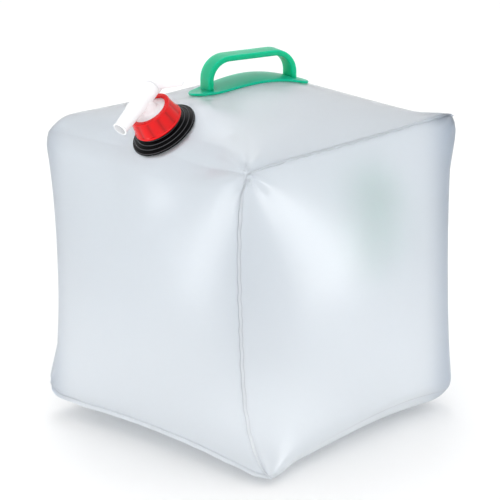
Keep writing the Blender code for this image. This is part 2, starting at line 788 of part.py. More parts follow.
def make_handle(name, film, axis, at, heading, group, cutters, green):
    bpy.context.view_layer.update()
    matrix = handle_frame(film, axis, at, heading)
    bm = bmesh.new()
    bmesh.ops.create_grid(bm, x_segments=18, y_segments=8, size=1.0)
    flat = []
    for vert in bm.verts:
        u, v = vert.co.x, vert.co.y
        round_x, round_y = u * math.sqrt(1 - v * v / 2), v * math.sqrt(1 - u * u / 2)
        x = round_x * PLATE_WIDTH / 2 + u * (PLATE_LENGTH - PLATE_WIDTH) / 2
        flat.append((x, round_y * PLATE_WIDTH / 2))
    for vert, spot in zip(bm.verts, laid_on(film, matrix, flat, PLATE_GAP)):
        vert.co = spot
    mesh = bpy.data.meshes.new(name)
    bm.to_mesh(mesh)
    bm.free()
    handle = shade(place(name, mesh, group, green, matrix), 40)
    plate = handle.modifiers.new("Plate", "SOLIDIFY")
    plate.thickness = PLATE_THICK
    plate.offset = 1.0
    plate.use_even_offset = True
    turn = Matrix.Rotation(math.pi / 2, 4, "X")
    grip = flat_shape(name + "_grip", grip_outline(), GRIP_WIDTH, cutters, matrix @ turn)
    feet = [vert for vert in grip.data.vertices if vert.co.y < 1e-5]
    flat = [(turn @ vert.co).xy for vert in feet]
    for vert, spot in zip(feet, laid_on(film, matrix, flat, PLATE_GAP + PLATE_THICK / 2)):
        vert.co = turn.inverted() @ spot
    soften = grip.modifiers.new("Rounding", "BEVEL")
    soften.width = GRIP_ROUNDING
    soften.segments = 2
    soften.limit_method = "ANGLE"
    soften.angle_limit = math.radians(60)
    combine(handle, make_cutter(grip), "UNION")


def grip_outline():
    """The arch seen from its side: two legs and a level strap with rounded corners."""
    half = GRIP_SPAN / 2
    height = GRIP_HEIGHT
    inner = GRIP_CORNER - GRIP_THICK
    points = [(half, 0)]
    points += arc((half - GRIP_CORNER, height - GRIP_CORNER), GRIP_CORNER, 0, 90, 8)
    points += arc((GRIP_CORNER - half, height - GRIP_CORNER), GRIP_CORNER, 90, 180, 8)
    points += [(-half, 0), (GRIP_THICK - half, 0)]
    points += arc((GRIP_CORNER - half, height - GRIP_CORNER), inner, 180, 90, 8)
    points += arc((half - GRIP_CORNER, height - GRIP_CORNER), inner, 90, 0, 8)
    points += [(half - GRIP_THICK, 0)]
    return points


def main():
    clear_scene()
    group = new_collection("water_carrier")
    cutters = new_collection("cutters")
    film = new_material("milky_film", (0.80, 0.83, 0.88), 0.38, 0.3)
    green = new_material("green_plastic", (0.03, 0.45, 0.27), 0.35)
    black = new_material("black_plastic", (0.012, 0.011, 0.013), 0.32)
    red = new_material("red_plastic", (0.72, 0.03, 0.03), 0.38)
    white = new_material("white_plastic", (0.90, 0.91, 0.92), 0.40)
    rubber = new_material("pale_rubber", (0.55, 0.55, 0.53), 0.70)

    seat, right, uphill, outward = neck_axes()
    frame = bpy.data.objects.new("neck_frame", None)
    group.objects.link(frame)
    turn = Matrix((right, uphill, outward)).transposed().to_4x4()
    frame.matrix_world = Matrix.Translation(seat + outward * FILM) @ turn

    upper = film_half("bag_upper_half", UPPER_POLE, film, group)
    lower = film_half("bag_lower_half", LOWER_POLE, film, group)
    hole = cylinder("neck_hole", SPIGOT_RADIUS + GAP, -0.010, 0.010, cutters, None, frame)
    combine(upper, make_cutter(hole), "DIFFERENCE")

    make_neck(group, cutters, frame, black, rubber)
    make_closure_ring(group, cutters, frame, red)
    make_tap(group, cutters, frame, white, rubber)
    make_key(group, cutters, frame, white, rubber)
    make_handle("top_handle", upper, 2, TOP_HANDLE_AT, TOP_HANDLE_HEADING, group, cutters, green)
    make_handle("rear_handle", lower, 1, REAR_HANDLE_AT, REAR_HANDLE_HEADING, group, cutters, green)
    bpy.context.view_layer.update()


main()
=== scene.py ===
"""Looks of the filled water carrier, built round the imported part, in metres with +Z up."""

import math

import bmesh
import bpy
import numpy as np
from mathutils import Matrix, Vector


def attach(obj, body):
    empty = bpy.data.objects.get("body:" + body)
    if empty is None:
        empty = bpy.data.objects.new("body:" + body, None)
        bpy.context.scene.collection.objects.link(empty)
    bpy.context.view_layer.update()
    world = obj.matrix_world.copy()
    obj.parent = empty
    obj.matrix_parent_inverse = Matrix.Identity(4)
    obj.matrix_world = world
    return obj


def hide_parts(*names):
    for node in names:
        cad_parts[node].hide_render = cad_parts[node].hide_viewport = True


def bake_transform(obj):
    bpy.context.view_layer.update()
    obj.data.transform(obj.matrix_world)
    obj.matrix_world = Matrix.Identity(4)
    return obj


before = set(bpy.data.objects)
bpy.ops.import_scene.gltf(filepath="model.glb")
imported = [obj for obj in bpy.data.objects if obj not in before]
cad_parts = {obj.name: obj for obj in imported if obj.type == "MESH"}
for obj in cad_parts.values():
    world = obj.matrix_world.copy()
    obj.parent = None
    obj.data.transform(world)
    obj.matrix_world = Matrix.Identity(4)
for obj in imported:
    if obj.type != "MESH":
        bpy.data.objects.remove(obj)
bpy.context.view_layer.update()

# The bag's shape, the same values as the part's.
GAP = 0.0003
PLATE_GAP = 0.00060
EDGE = 0.280
HALF = EDGE / 2
STAND = 0.014
FILM = 0.0005
WELD_LIP = 0.004
WELD_GAP = 0.0003
LIP_AT_CORNER = 0.5
LIP_TURNS_FROM = 0.7
FOLD_RADIUS = 0.026
FOLD_BLEND = 1.6 * FOLD_RADIUS
WELD_RADIUS = 0.002
FOLD_TAPER = 0.25
EDGE_CROWDING = 0.35
CORNER_SHIFT = {
    (1, -1, 1): (-0.005, -0.0035, 0.0035),
    (1, -1, -1): (0.010, 0.006, -0.0095),
    (-1, -1, 1): (-0.0055, -0.006, 0.001),
    (-1, -1, -1): (-0.0055, -0.0035, 0.0075),
    (1, 1, 1): (0.0005, -0.0018, 0.0065),
    (1, 1, -1): (0.0058, 0.0038, -0.0045),
}
EDGE_BOW = {
    (1, -1, 0): ((-0.022, 0.002, 0.0), 3.6, -0.4),
    (-1, -1, 0): ((0.0078, 0.0078, 0.0), 2.2, 0.3),
    (1, 1, 0): ((-0.0035, -0.0035, 0.0), 2.2, -1.1),
    (-1, 1, 0): ((0.007, -0.007, 0.0), 2.2, 0.0),
    (0, -1, -1): ((0.0, 0.004, 0.0095), 2.2, 0.5),
    (0, -1, 1): ((0.0, 0.006, -0.003), 2.2, 0.0),
    (0, 1, -1): ((0.0, -0.004, 0.005), 2.2, 0.0),
    (0, 1, 1): ((0.0, -0.006, -0.0145), 9.0, 0.0),
    (1, 0, -1): ((-0.004, 0.0, 0.0085), 2.2, 0.35),
    (-1, 0, -1): ((0.004, 0.0, 0.005), 2.2, 0.0),
    (1, 0, 1): ((-0.006, 0.0, -0.005), 2.2, 0.0),
    (-1, 0, 1): ((0.006, 0.0, -0.0112), 2.2, 0.0),
}
PANEL_CROWN = {
    (0, 1): 0.016, (0, -1): 0.016, (1, 1): 0.016, (1, -1): 0.016, (2, 1): 0.0305, (2, -1): 0.022,
}
CROWN_RIDGE = 1.5
CORNER_DEPTH = 0.006
CORNER_REACH = 0.014
HANDLE_LIFT = 0.015
LIFT_AT = (-0.002, 0.016)
LIFT_REACH = 0.062
BOW_SPREAD = 2.0
UPPER_POLE = (-1, -1, 1)
LOWER_POLE = (1, 1, -1)
WELD_CORNERS = ((1, -1, 1), (1, 1, 1), (-1, 1, 1), (-1, 1, -1), (-1, -1, -1), (1, -1, -1))
FOLDS = ((0, -1, 1), (-1, 0, 1), (-1, -1, 0), (0, 1, -1), (1, 0, -1), (1, 1, 0))
WELDS = ((1, -1, 0), (1, 0, 1), (0, 1, 1), (-1, 1, 0), (-1, 0, -1), (0, -1, -1))

# The film's look alone: its grid, how it falls away round the neck, its weld's lip, as the share
# of the width and the thickening at each step, and its wrinkles. A wave has its way, its start
# and its share of the height.
PANEL_CELLS = 96
SEAT_RADIUS = 0.034
SEAT_BLEND = 0.044
LIP_STEPS = ((0.12, 0.0), (0.30, 0.00005), (0.80, 0.00010), (0.93, 0.00010), (1.0, 0.00005))
FRONT_LEAN = 1.3
WAVE_HEIGHT = 0.0004
WAVES = (
    ((3.1, 2.3, -1.7), 0.4, 1.0),
    ((-2.2, 4.3, 2.9), 2.0, 1.0),
    ((5.3, -3.7, 4.9), 1.1, 0.6),
)
STAR_HEIGHT = 0.0012
STAR_REACH = 0.011
STAR_RAYS = 11
PUCKER_HEIGHT = 0.00028
PUCKER_REACH = 0.009
PUCKER_LENGTH = 0.0170
PUCKER_DRIFT = 1.8
PUCKER_DRIFT_LENGTH = 0.0210
LONG_PUCKER_LENGTH = 0.0311
LONG_PUCKER_SHARE = 0.6
PUCKER_FADE = 6

# The film's material: clearer on the panels than on the lip, with painted shade as thin dark lines
# along the lip's root and edge and as a bluish grey band along two upright edges, and cloudier near
# the floor as painted light that lightens it there.
FILM_COLOUR = (0.93, 0.962, 1.0)
FILM_ROUGHNESS = 0.30
FILM_IOR = 1.45
FILM_CLEAR = 0.82
LIP_CLEAR = 0.72
LIP_CLEAR_FROM = 0.3
# Painted shade as two thin dark lines along the upright front weld's lip: their colour, where
# across the lip they lie, and how they fade towards the weld's foot.
LIP_PAINTED_SHADE = (0.34, 0.36, 0.40)
LIP_PAINTED_SHADE_AT = ((0.0, 0.0), (0.10, 0.9), (0.24, 0.0), (0.84, 0.0), (0.95, 0.45), (1.0, 0.45))
MARK = "mark"
PAINTED_SHADE_MARK = "line"
PAINTED_SHADE_FADES_FROM = -0.2
PAINTED_SHADE_FADES_OVER = 0.5
PAINTED_SHADE_FADES_BY = 0.65
# Painted shade in bluish grey along two upright edges of the film: its colour, the band it covers
# and a shift that makes one edge darker.
FOLD_PAINTED_SHADE = (0.60, 0.66, 0.74)
FOLD_SHADE_FROM = 0.66
FOLD_SHADE_TO = 1.08
FOLD_SHADE_SHIFT = (0.006, 0.006, 0.0)
# Painted light: the film turns cloudier near the floor, which lightens it there.
LOW_PAINTED_LIGHT = 0.19
LOW_PAINTED_LIGHT_FROM = 0.24
LOW_PAINTED_LIGHT_TO = 0.04

# The neck, the closure and the tap, the same values as the part's.
NECK_PLACE = (0.065, -0.8365, 1.0)
NECK_LEAN = math.radians(35.5)
NECK_TURN = math.radians(9.0)
SEAT_SINK = 0.0010
FLANGE_RADIUS = 0.032
RIDGES = 4
RIDGE_INNER_RADIUS = 0.0215
RIDGE_TOP = 0.0084
RIDGE_FOOT = 0.0021
NECK_BORE = 0.0150
NECK_ROOT = 0.0172
NECK_TOP = 0.0208
SPIGOT_RADIUS = 0.0187
SPIGOT_BEAD = 0.0013
NECK_SEAL_THICK = 0.0012
BACKING_THICK = 0.003
THREAD_PITCH = 0.004
THREAD_TURNS = 1.5
THREAD_DEPTH = 0.0011
THREAD_WIRE = 0.0009
THREAD_CLEAR = 0.0005
THREAD_START = 0.0125
RING_FOOT_RADIUS = 0.0237
RING_TOP_RADIUS = 0.0205
RING_HEIGHT = 0.0172
RING_LIP = 0.002
RING_OPENING = 0.0160
RING_FLUTES = 12
RING_FLUTE_DEPTH = 0.0003
GASKET_THICK = 0.0015
GASKET_INNER = 0.0145
TAP_FLANGE_RADIUS = 0.0172
TAP_FLANGE_THICK = 0.0025
TAP_PILOT_LENGTH = 0.003
TAP_PILOT_WALL = 0.0035
TAP_TUBE_RADIUS = 0.0076
TAP_TUBE_BORE = 0.0045
TAP_TUBE_FILLET = 0.002
TAP_RISE = 0.0119
BARREL_RADIUS = 0.008
BARREL_UP = 0.016
SPOUT_DOWN = 0.037
SPOUT_RADIUS = 0.0069
SPOUT_BORE = 0.0057
KEY_BORE = 0.00525
KEY_DOWN = 0.012
PORT_RADIUS = 0.0026
KEY_HOLLOW = 0.0032
KEY_LIP = 0.0013
SEAL_GROOVE = 0.0011
SEAL_PLACES = (-0.0085, 0.0078)
CAP_RADIUS = 0.0084
LEVER_THICK = 0.004
LEVER_LENGTH = 0.045
LEVER_ROOT = 0.0045
LEVER_TIP = 0.0068
LEVER_ANGLE = math.radians(14.0)

# The carrying handles, the same values as the part's.
PLATE_LENGTH = 0.121
PLATE_WIDTH = 0.042
PLATE_THICK = 0.0024
GRIP_SPAN = 0.093
GRIP_WIDTH = 0.019
GRIP_THICK = 0.0055
GRIP_HEIGHT = 0.0262
GRIP_CORNER = 0.023
GRIP_ROUNDING = 0.0014
TOP_HANDLE = (2, (-0.0011, -0.0010), math.radians(72.0))
REAR_HANDLE = (1, (0.017, 0.162), math.radians(90.0))

# The fittings' look alone: smooth rounding, the collar's stepped ridges as places off each crest,
# and the closure ring's flutes.
TURN_STEPS = 96
AXIS = 1e-9
SMOOTH_ANGLE = 35.0
FILM_SMOOTH_ANGLE = 50.0
HANDLE_SMOOTH_ANGLE = 40.0
BEVEL_ANGLE = 60.0
COLLAR_ROUNDING = 0.0003
RIDGE_SHAPE = ((-0.0012, -0.0002), (-0.0009, 0.0), (-0.0004, 0.0), (0.0, -0.0008))
# Painted highlight on the collar: from where on the ridges it starts, and the band below each crest
# it covers.
RIDGES_FROM = -0.1
CREST_HIGHLIGHT_BELOW = 0.0007
CREST_HIGHLIGHT_DEPTH = 0.0003
RING_ROUNDING = 0.0004
RING_CHAMFER = 0.0004
RING_TOP_RIM = 0.0014
RING_TOP_SWELL = 0.0001
RING_FOOT_RIM = 0.0020
RING_FOOT_SWELL = 0.0002
RING_WAIST_TOP = 0.0018
RING_WAIST_FOOT = 0.0026
RING_WAIST_DEPTH = 0.0003
FLUTE_TOP = 0.0016
FLUTE_FOOT = 0.0023
# Painted shade in the closure ring's flute grooves: how sharply it gathers in them.
FLUTE_SHADE = 1.5
TAP_ROUNDING = 0.0006
BARREL_ROUNDING = 0.0005
SHOULDER = 0.002
SHOULDER_REACH = 0.003
SPOUT_RIM = 0.001
SPOUT_WAIST = 0.0005
LEVER_THINNER = 0.0008
LEVER_ROUNDING = 0.0009
KEY_STEPS = 48
HOLE_REACH = 0.01
PLATE_CELLS = (72, 24)
PLATE_ROUNDING = 0.0008
THREAD_POINTS = 97
THREAD_SIDES = 10
THREAD_THIN = 0.15
THREAD_SWELL = 12
ARC_STEPS = 20

# The plastics: colour, on the black and the red one the colour of what is marked, roughness, and
# for three of them the specular level. The black one's marked colour is a painted highlight on the
# collar's crests, the red one's painted shade in the ring's grooves. The bare nodes are the CAD
# solids that show as they are.
GREEN = ((0.003, 0.39, 0.22), 0.32, 0.2)
GREEN_GLOW = (0.2, 1.0, 0.75)
GREEN_GLOW_SCALE = 0.02
# The black's second colour is a painted highlight on the collar's ridge crests.
BLACK = ((0.001, 0.001, 0.0015), (0.06, 0.06, 0.065), 0.2, 0.06)
# The red's second colour is painted shade in the ring's flute grooves.
RED = ((0.70, 0.002, 0.003), (0.46, 0.001, 0.002), 0.22, 0.3)
WHITE = ((0.885, 0.89, 0.905), 0.36)
RUBBER = ((0.55, 0.55, 0.53), 0.70)
SHINE_SPREAD = 0.1
BARE_NODES = {
    "neck_seal": "rubber",
    "tap_gasket": "rubber",
    "key_seal_upper": "rubber",
    "key_seal_lower": "rubber",
    "neck_backing_ring": "black",
}

# The picture. Each light has its place, what it points at, its size and its power.
CAMERA_AZIMUTH = math.radians(44.37)
CAMERA_ELEVATION = math.radians(17.82)
CAMERA_ROLL = math.radians(-0.65)
CAMERA_DISTANCE = 2.12
CAMERA_LENS = 158.8
CAMERA_SENSOR = 36
CAMERA_NEAR = 0.05
CAMERA_MIDDLE = (0, 0, 0.154)
AIM_LEFT = 0.0021
AIM_UP = 0.0097
LIGHTS = {
    "front_light": ((-0.17, -0.60, 0.07), (0.10, -0.15, 0.23), 0.22, 0.65),
    "side_light": ((0.62, 0.22, 0.07), (0.14, -0.06, 0.23), 0.18, 0.72),
    "top_light": ((-0.8, 0.6, 1.8), (0, 0, 0.3), 1.2, 6),
    "fill_light": ((1.10, -1.12, 0.30), (0, 0, 0.04), 1.0, 5),
}
FLOOR_REACH = 6.0
FLOOR_PAINT = ((0.98, 0.98, 0.98), 0.8)
FLOOR_GLOW = (0.96, 0.985, 1.0)


def helper(name, data, matrix=None):
    """A loose object, linked to the scene."""
    item = bpy.data.objects.new(name, data)
    bpy.context.scene.collection.objects.link(item)
    if matrix is not None:
        item.matrix_world = matrix
    return item


def finished(name, mesh, material, body=None, nodes=(), angle=SMOOTH_ANGLE):
    """An object of the mesh that rides on its body and stands for CAD nodes."""
    item = helper(name, mesh)
    mesh.materials.clear()
    mesh.materials.append(material)
    mesh.shade_smooth()
    mesh.set_sharp_from_angle(angle=math.radians(angle))
    if body is not None:
        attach(item, body)
    if nodes:
        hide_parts(*nodes)
    return item


def mark(mesh, values, name=MARK):
    """Gives every vertex a number from 0 to 1, which the piece's material reads."""
    attribute = mesh.attributes.new(name, "FLOAT", "POINT")
    attribute.data.foreach_set("value", values)


def baked(item):
    """The mesh as the item's modifiers leave it, in world places. The item goes."""
    bpy.context.view_layer.update()
    graph = bpy.context.evaluated_depsgraph_get()
    mesh = bpy.data.meshes.new_from_object(item.evaluated_get(graph))
    mesh.transform(item.matrix_world)
    bpy.data.objects.remove(item)
    return mesh


def combine(item, other, operation):
    """Adds another closed object to the item, or takes it away."""
    modifier = item.modifiers.new(operation.title(), "BOOLEAN")
    modifier.operation = operation
    modifier.solver = "EXACT"
    modifier.object = other


def carved(item, tools):
    """The item's mesh with each tool joined to it or cut out of it. The tools go."""
    for tool, operation in tools:
        combine(item, tool, operation)
    mesh = baked(item)
    for tool, _ in tools:
        bpy.data.objects.remove(tool)
    return mesh


def soften(item, width, segments):
    """Rounds the item's sharp edges."""
    modifier = item.modifiers.new("Rounding", "BEVEL")
    modifier.width = width
    modifier.segments = segments
    modifier.limit_method = "ANGLE"
    modifier.angle_limit = math.radians(BEVEL_ANGLE)


def joined(name, meshes):
    """One mesh of several."""
    bm = bmesh.new()
    for mesh in meshes:
        bm.from_mesh(mesh)
    result = bpy.data.meshes.new(name)
    bm.to_mesh(result)
    bm.free()
    return result


# The film. Its places are on a flat cube that runs from -1 to 1 on each axis.


def eased(value):
    """A smooth step from 0 to 1."""
    return value * value * (3 - 2 * value)


def clamped(value):
    """The value, or 0 where it is below and 1 where it is above."""
    return min(max(value, 0.0), 1.0)


def off_edge(p, signs):
    """How far places are from the cube's edge that the signs name, and the axis it runs along."""
    run = signs.index(0)
    sides = [(1 - signs[axis] * p[:, axis]) * HALF for axis in range(3) if axis != run]
    return np.hypot(*sides), run


def film_point(places, seated=True):
    """Where places on the flat cube lie on the filled bag's inner skin."""
    p = np.atleast_2d(np.asarray(places, float))
    point = p * HALF
    for signs, shift in CORNER_SHIFT.items():
        weight = np.prod((1 + p * signs) / 2, axis=1)
        point += weight[:, None] * shift
    for signs in WELD_CORNERS:
        reach = np.linalg.norm(p - signs, axis=1) * HALF / CORNER_REACH
        point -= CORNER_DEPTH * np.exp(-reach ** 2)[:, None] * np.array(signs) / math.sqrt(3)
    for signs, (bow, flatness, skew) in EDGE_BOW.items():
        along = p[:, signs.index(0)]
        weight = (1 - np.abs(along) ** flatness) * (1 + skew * along)
        for axis in range(3):
            if signs[axis]:
                weight = weight * ((1 + signs[axis] * p[:, axis]) / 2) ** BOW_SPREAD
        point += weight[:, None] * bow
    for (axis, sign), height in PANEL_CROWN.items():
        on_panel = np.abs(p[:, axis] - sign) < 1e-6
        point[:, axis] += sign * height * crown(p, axis) * on_panel
    aside = p[:, :2] * HALF - LIFT_AT
    lifted = np.exp(-(np.linalg.norm(aside, axis=1) / LIFT_REACH) ** 2)
    point[:, 2] += HANDLE_LIFT * lifted * ((1 + p[:, 2]) / 2) ** BOW_SPREAD
    radius = edge_radius(p)[:, None]
    middle = np.clip(p * HALF, radius - HALF, HALF - radius)
    outward = p * HALF - middle
    outward /= np.linalg.norm(outward, axis=1, keepdims=True)
    point += middle + radius * outward - p * HALF
    if seated:
        point += relief(p)[:, None] * outward + puckers(p)
    point[:, 2] = np.maximum(point[:, 2] + HALF + STAND, FILM)
    return press_seat(point) if seated else point


def crown(p, axis):
    """0 along a panel's edges and 1 at its middle, with ridges that run to its corners."""
    across = [np.clip(1 - p[:, other] ** 2, 1e-9, 1) for other in range(3) if other != axis]
    sharp = across[0] ** -CROWN_RIDGE + across[1] ** -CROWN_RIDGE
    return (sharp / 2) ** (-1 / CROWN_RIDGE)


def edge_radius(p):
    """Radius of the nearest edge: wide on a fold, tapering to its welded end, tight on the weld."""
    radius = np.full(len(p), WELD_RADIUS)
    for signs in FOLDS:
        distance, run = off_edge(p, signs)
        near = 1 - eased(np.clip((distance - FOLD_RADIUS) / FOLD_BLEND, 0, 1))
        pole = UPPER_POLE if signs in FOLDS[:3] else LOWER_POLE
        from_weld = np.clip(2 * (1 + pole[run] * p[:, run]), 0, 1)
        taper = np.clip(FOLD_TAPER + from_weld, 0, 1)
        radius = np.maximum(radius, near * taper * FOLD_RADIUS)
    return radius


def relief(p):
    """Soft waves over the panels and short creases round the weld's corners, along the normal."""
    height = WAVE_HEIGHT * sum(share * np.sin(p @ way + start) for way, start, share in WAVES)
    for index, signs in enumerate(WELD_CORNERS):
        away = p - signs
        distance = np.linalg.norm(away, axis=1) * HALF
        way = away / np.maximum(distance / HALF, 1e-6)[:, None]
        turn = way @ (math.sin(index + 1.0), math.cos(2.3 * index), math.sin(1.7 * index + 0.5))
        share = distance / STAR_REACH
        height += STAR_HEIGHT * share * np.exp(1 - share) * np.cos(STAR_RAYS * turn + index)
    return height


def puckers(p):
    """Small ripples across each weld, the same for both halves."""
    moved = np.zeros_like(p)
    for index, signs in enumerate(WELDS):
        distance, run = off_edge(p, signs)
        near = np.exp(-distance / PUCKER_REACH)
        s = p[:, run] * HALF
        drift = PUCKER_DRIFT * np.sin(s / PUCKER_DRIFT_LENGTH + 2 * index)
        wave = np.sin(2 * math.pi * s / PUCKER_LENGTH + index + drift)
        long_wave = np.sin(2 * math.pi * s / LONG_PUCKER_LENGTH + 2.1 * index)
        wave += LONG_PUCKER_SHARE * long_wave
        fade = 1 - np.abs(p[:, run]) ** PUCKER_FADE
        along = Vector((0, 0, 0))
        along[run] = 1
        across = np.array(along.cross(Vector(signs)).normalized())
        moved += (PUCKER_HEIGHT * near * wave * fade)[:, None] * across
    return moved


def neck_axes():
    """The neck's frame: its seat on the inner skin, and its right, uphill and outward axes."""
    outward = Vector((
        -math.sin(NECK_LEAN) * math.sin(NECK_TURN),
        -math.sin(NECK_LEAN) * math.cos(NECK_TURN),
        math.cos(NECK_LEAN),
    ))
    uphill = Vector((0, 1, 0))
    uphill = (uphill - uphill.dot(outward) * outward).normalized()
    right = uphill.cross(outward)
    seat = Vector(film_point(NECK_PLACE, seated=False)[0]) - SEAT_SINK * outward
    return seat, right, uphill, outward


def press_seat(point):
    """Points near the neck, pressed flat onto its seat."""
    seat, _, _, outward = (np.array(v) for v in neck_axes())
    height = (point - seat) @ outward
    across = np.linalg.norm(point - seat - height[:, None] * outward, axis=1)
    reach = np.clip((across - SEAT_RADIUS) / SEAT_BLEND, 0, 1)
    weight = (1 - reach) ** 3 * (1 + 1.5 * reach)
    weight[height < -HALF / 2] = 0
    return point - (weight * height)[:, None] * outward


def panel_matrix(axis, sign):
    """Turns a square drawn on z = 1 onto the cube's panel."""
    normal = Vector((0, 0, 0))
    normal[axis] = sign
    turn = Vector((0, 0, 1)).rotation_difference(normal).to_matrix().to_4x4()
    return turn @ Matrix.Translation((0, 0, 1))


def crowded(values):
    """Spreads even places from -1 to 1 so that they lie closer together near the edges."""
    return EDGE_CROWDING * np.sin(values * math.pi / 2) + (1 - EDGE_CROWDING) * values


def edge_nears(place):
    """How near a place is to a side of the cube along each axis, over the last stretch."""
    return [clamped((abs(float(v)) - LIP_TURNS_FROM) / (1 - LIP_TURNS_FROM)) for v in place]


def lip_way(place, pole, tangent):
    """The way the weld's lip points, between the panels on both its sides and square to the weld.
    It turns smoothly into each corner, and leans over the front panel along the upright weld."""
    own, other = Vector((0, 0, 0)), Vector((0, 0, 0))
    nears = [eased(near) for near in edge_nears(place)]
    for axis in range(3):
        side = own if place[axis] * pole[axis] > 0 else other
        side[axis] = math.copysign(nears[axis], place[axis])
    lip = own.normalized() + other.normalized()
    if place[0] > 0 > place[1]:
        lean = FRONT_LEAN * nears[0] * nears[1] * (1 - nears[2])
        lip += lean * Vector((-1, -1, 0))
    return (lip - (1 - min(nears)) * lip.dot(tangent) * tangent).normalized()


def painted_shade_strength(place):
    """How strongly the lip's two thin lines of painted shade show: along the upright front weld
    alone, and less towards its foot."""
    if not place[0] > 0 > place[1]:
        return 0.0
    x, y, z = edge_nears(place)
    below = clamped((PAINTED_SHADE_FADES_FROM - float(place[2])) / PAINTED_SHADE_FADES_OVER)
    return min(x, y) * (1 - z) * (1 - PAINTED_SHADE_FADES_BY * below)


def lip_share(place):
    """How much of the lip's width is left near a corner, where it is cut round."""
    from_corner = HALF * np.linalg.norm(np.abs(place) - 1)
    return 1 - (1 - LIP_AT_CORNER) * math.exp(-(from_corner / CORNER_REACH) ** 2)


def off_weld(point, place, pole, lip, neighbours):
    """The way off the weld's middle that leaves a gap of one on both sides of a point."""
    normals = []
    for spot, there in neighbours:
        on_panel = np.minimum(place * pole, spot * pole) > 1 - 1e-5
        normal = (there - point).cross(lip).normalized()
        normals.append(normal * math.copysign(1, normal.dot(Vector(on_panel * pole))))
    return (normals[0] + normals[1]) / (1 + normals[0].dot(normals[1]))


def film_half(name, pole):
    """Three panels round one pole, with the weld's lip, thickened outward."""
    bm = bmesh.new()
    for axis in range(3):
        bmesh.ops.create_grid(
            bm, x_segments=PANEL_CELLS, y_segments=PANEL_CELLS, size=1.0,
            matrix=panel_matrix(axis, pole[axis]),
        )
    bmesh.ops.remove_doubles(bm, verts=bm.verts, dist=1e-4)
    verts = list(bm.verts)
    places = crowded(np.clip(np.array([vert.co[:] for vert in verts]), -1, 1))
    points = film_point(places)
    spots = dict(zip(verts, places))
    for vert, point in zip(verts, points):
        vert.co = point
    rim = [edge for edge in bm.edges if edge.is_boundary]
    beside = {}
    for edge in rim:
        for vert in edge.verts:
            beside.setdefault(vert, []).append(edge.other_vert(vert))
    lips, offs = {}, {}
    for vert, ends in beside.items():
        tangent = (ends[1].co - ends[0].co).normalized()
        lips[vert] = lip_way(spots[vert], pole, tangent)
        neighbours = [(spots[end], end.co) for end in ends]
        offs[vert] = off_weld(vert.co, spots[vert], pole, lips[vert], neighbours)
    for vert in beside:
        vert.co = vert.co + offs[vert] * WELD_GAP / 2
    base = {vert: vert for vert in beside}
    share_of, painted_shade_of = {}, {}
    edge_ring = rim
    for share, thicker in LIP_STEPS:
        made = bmesh.ops.extrude_edge_only(bm, edges=edge_ring)["geom"]
        edge_ring = [item for item in made if isinstance(item, bmesh.types.BMEdge)]
        edge_ring = [edge for edge in edge_ring if edge.is_boundary]
        following = {}
        for vert in (item for item in made if isinstance(item, bmesh.types.BMVert)):
            under = next(edge.other_vert(vert) for edge in vert.link_edges
                         if edge.other_vert(vert) in base)
            following[vert] = base[under]
        base = following
        for vert, foot in base.items():
            width = WELD_LIP * lip_share(spots[foot])
            vert.co = foot.co + lips[foot] * width * share + offs[foot] * thicker
            share_of[vert] = share
            # How strongly the lip's painted shade lines show at this place along the weld.
            painted_shade_of[vert] = painted_shade_of[foot] = painted_shade_strength(spots[foot])
    bm.verts.index_update()
    shares = [share_of.get(vert, 0.0) for vert in bm.verts]
    lines = [painted_shade_of.get(vert, 0.0) for vert in bm.verts]
    mesh = bpy.data.meshes.new(name)
    bm.to_mesh(mesh)
    bm.free()
    item = helper(name, mesh)
    mark(mesh, shares)
    # Where the lip's thin lines of painted shade show.
    mark(mesh, lines, PAINTED_SHADE_MARK)
    skin = item.modifiers.new("Film", "SOLIDIFY")
    skin.thickness = FILM
    skin.offset = 1.0
    return item


# Turned and swept pieces.


def rounded(corners, radius, steps=3):
    """A closed profile whose corners off the axis become small arcs."""
    points = []
    count = len(corners)
    for index, corner in enumerate(corners):
        here = Vector(corner)
        if here.x < AXIS:
            points.append(here)
            continue
        sides = [Vector(corners[index - 1]) - here, Vector(corners[(index + 1) % count]) - here]
        start, end = (here + side.normalized() * min(radius, 0.45 * side.length) for side in sides)
        for step in range(steps + 1):
            t = step / steps
            points.append((1 - t) ** 2 * start + 2 * t * (1 - t) * here + t * t * end)
    return points


def lathe(name, profile, steps=TURN_STEPS):
    """A profile of (radius, height) turned about z, down its outer side and up its inner one, or
    from the axis out, down, and back to the axis."""
    verts, rings = [], []
    for radius, height in profile:
        if radius < AXIS:
            rings.append([len(verts)] * steps)
            verts.append((0, 0, height))
        else:
            rings.append([len(verts) + step for step in range(steps)])
            angles = [2 * math.pi * step / steps for step in range(steps)]
            verts += [(radius * math.cos(a), radius * math.sin(a), height) for a in angles]
    solid_core = profile[0][0] < AXIS and profile[-1][0] < AXIS
    faces = []
    for upper, lower in zip(rings, rings[1:] if solid_core else rings[1:] + rings[:1]):
        for step in range(steps):
            beyond = (step + 1) % steps
            face = dict.fromkeys((upper[step], lower[step], lower[beyond], upper[beyond]))
            if len(face) > 2:
                faces.append(list(face))
    mesh = bpy.data.meshes.new(name)
    mesh.from_pydata(verts, [], faces)
    return mesh


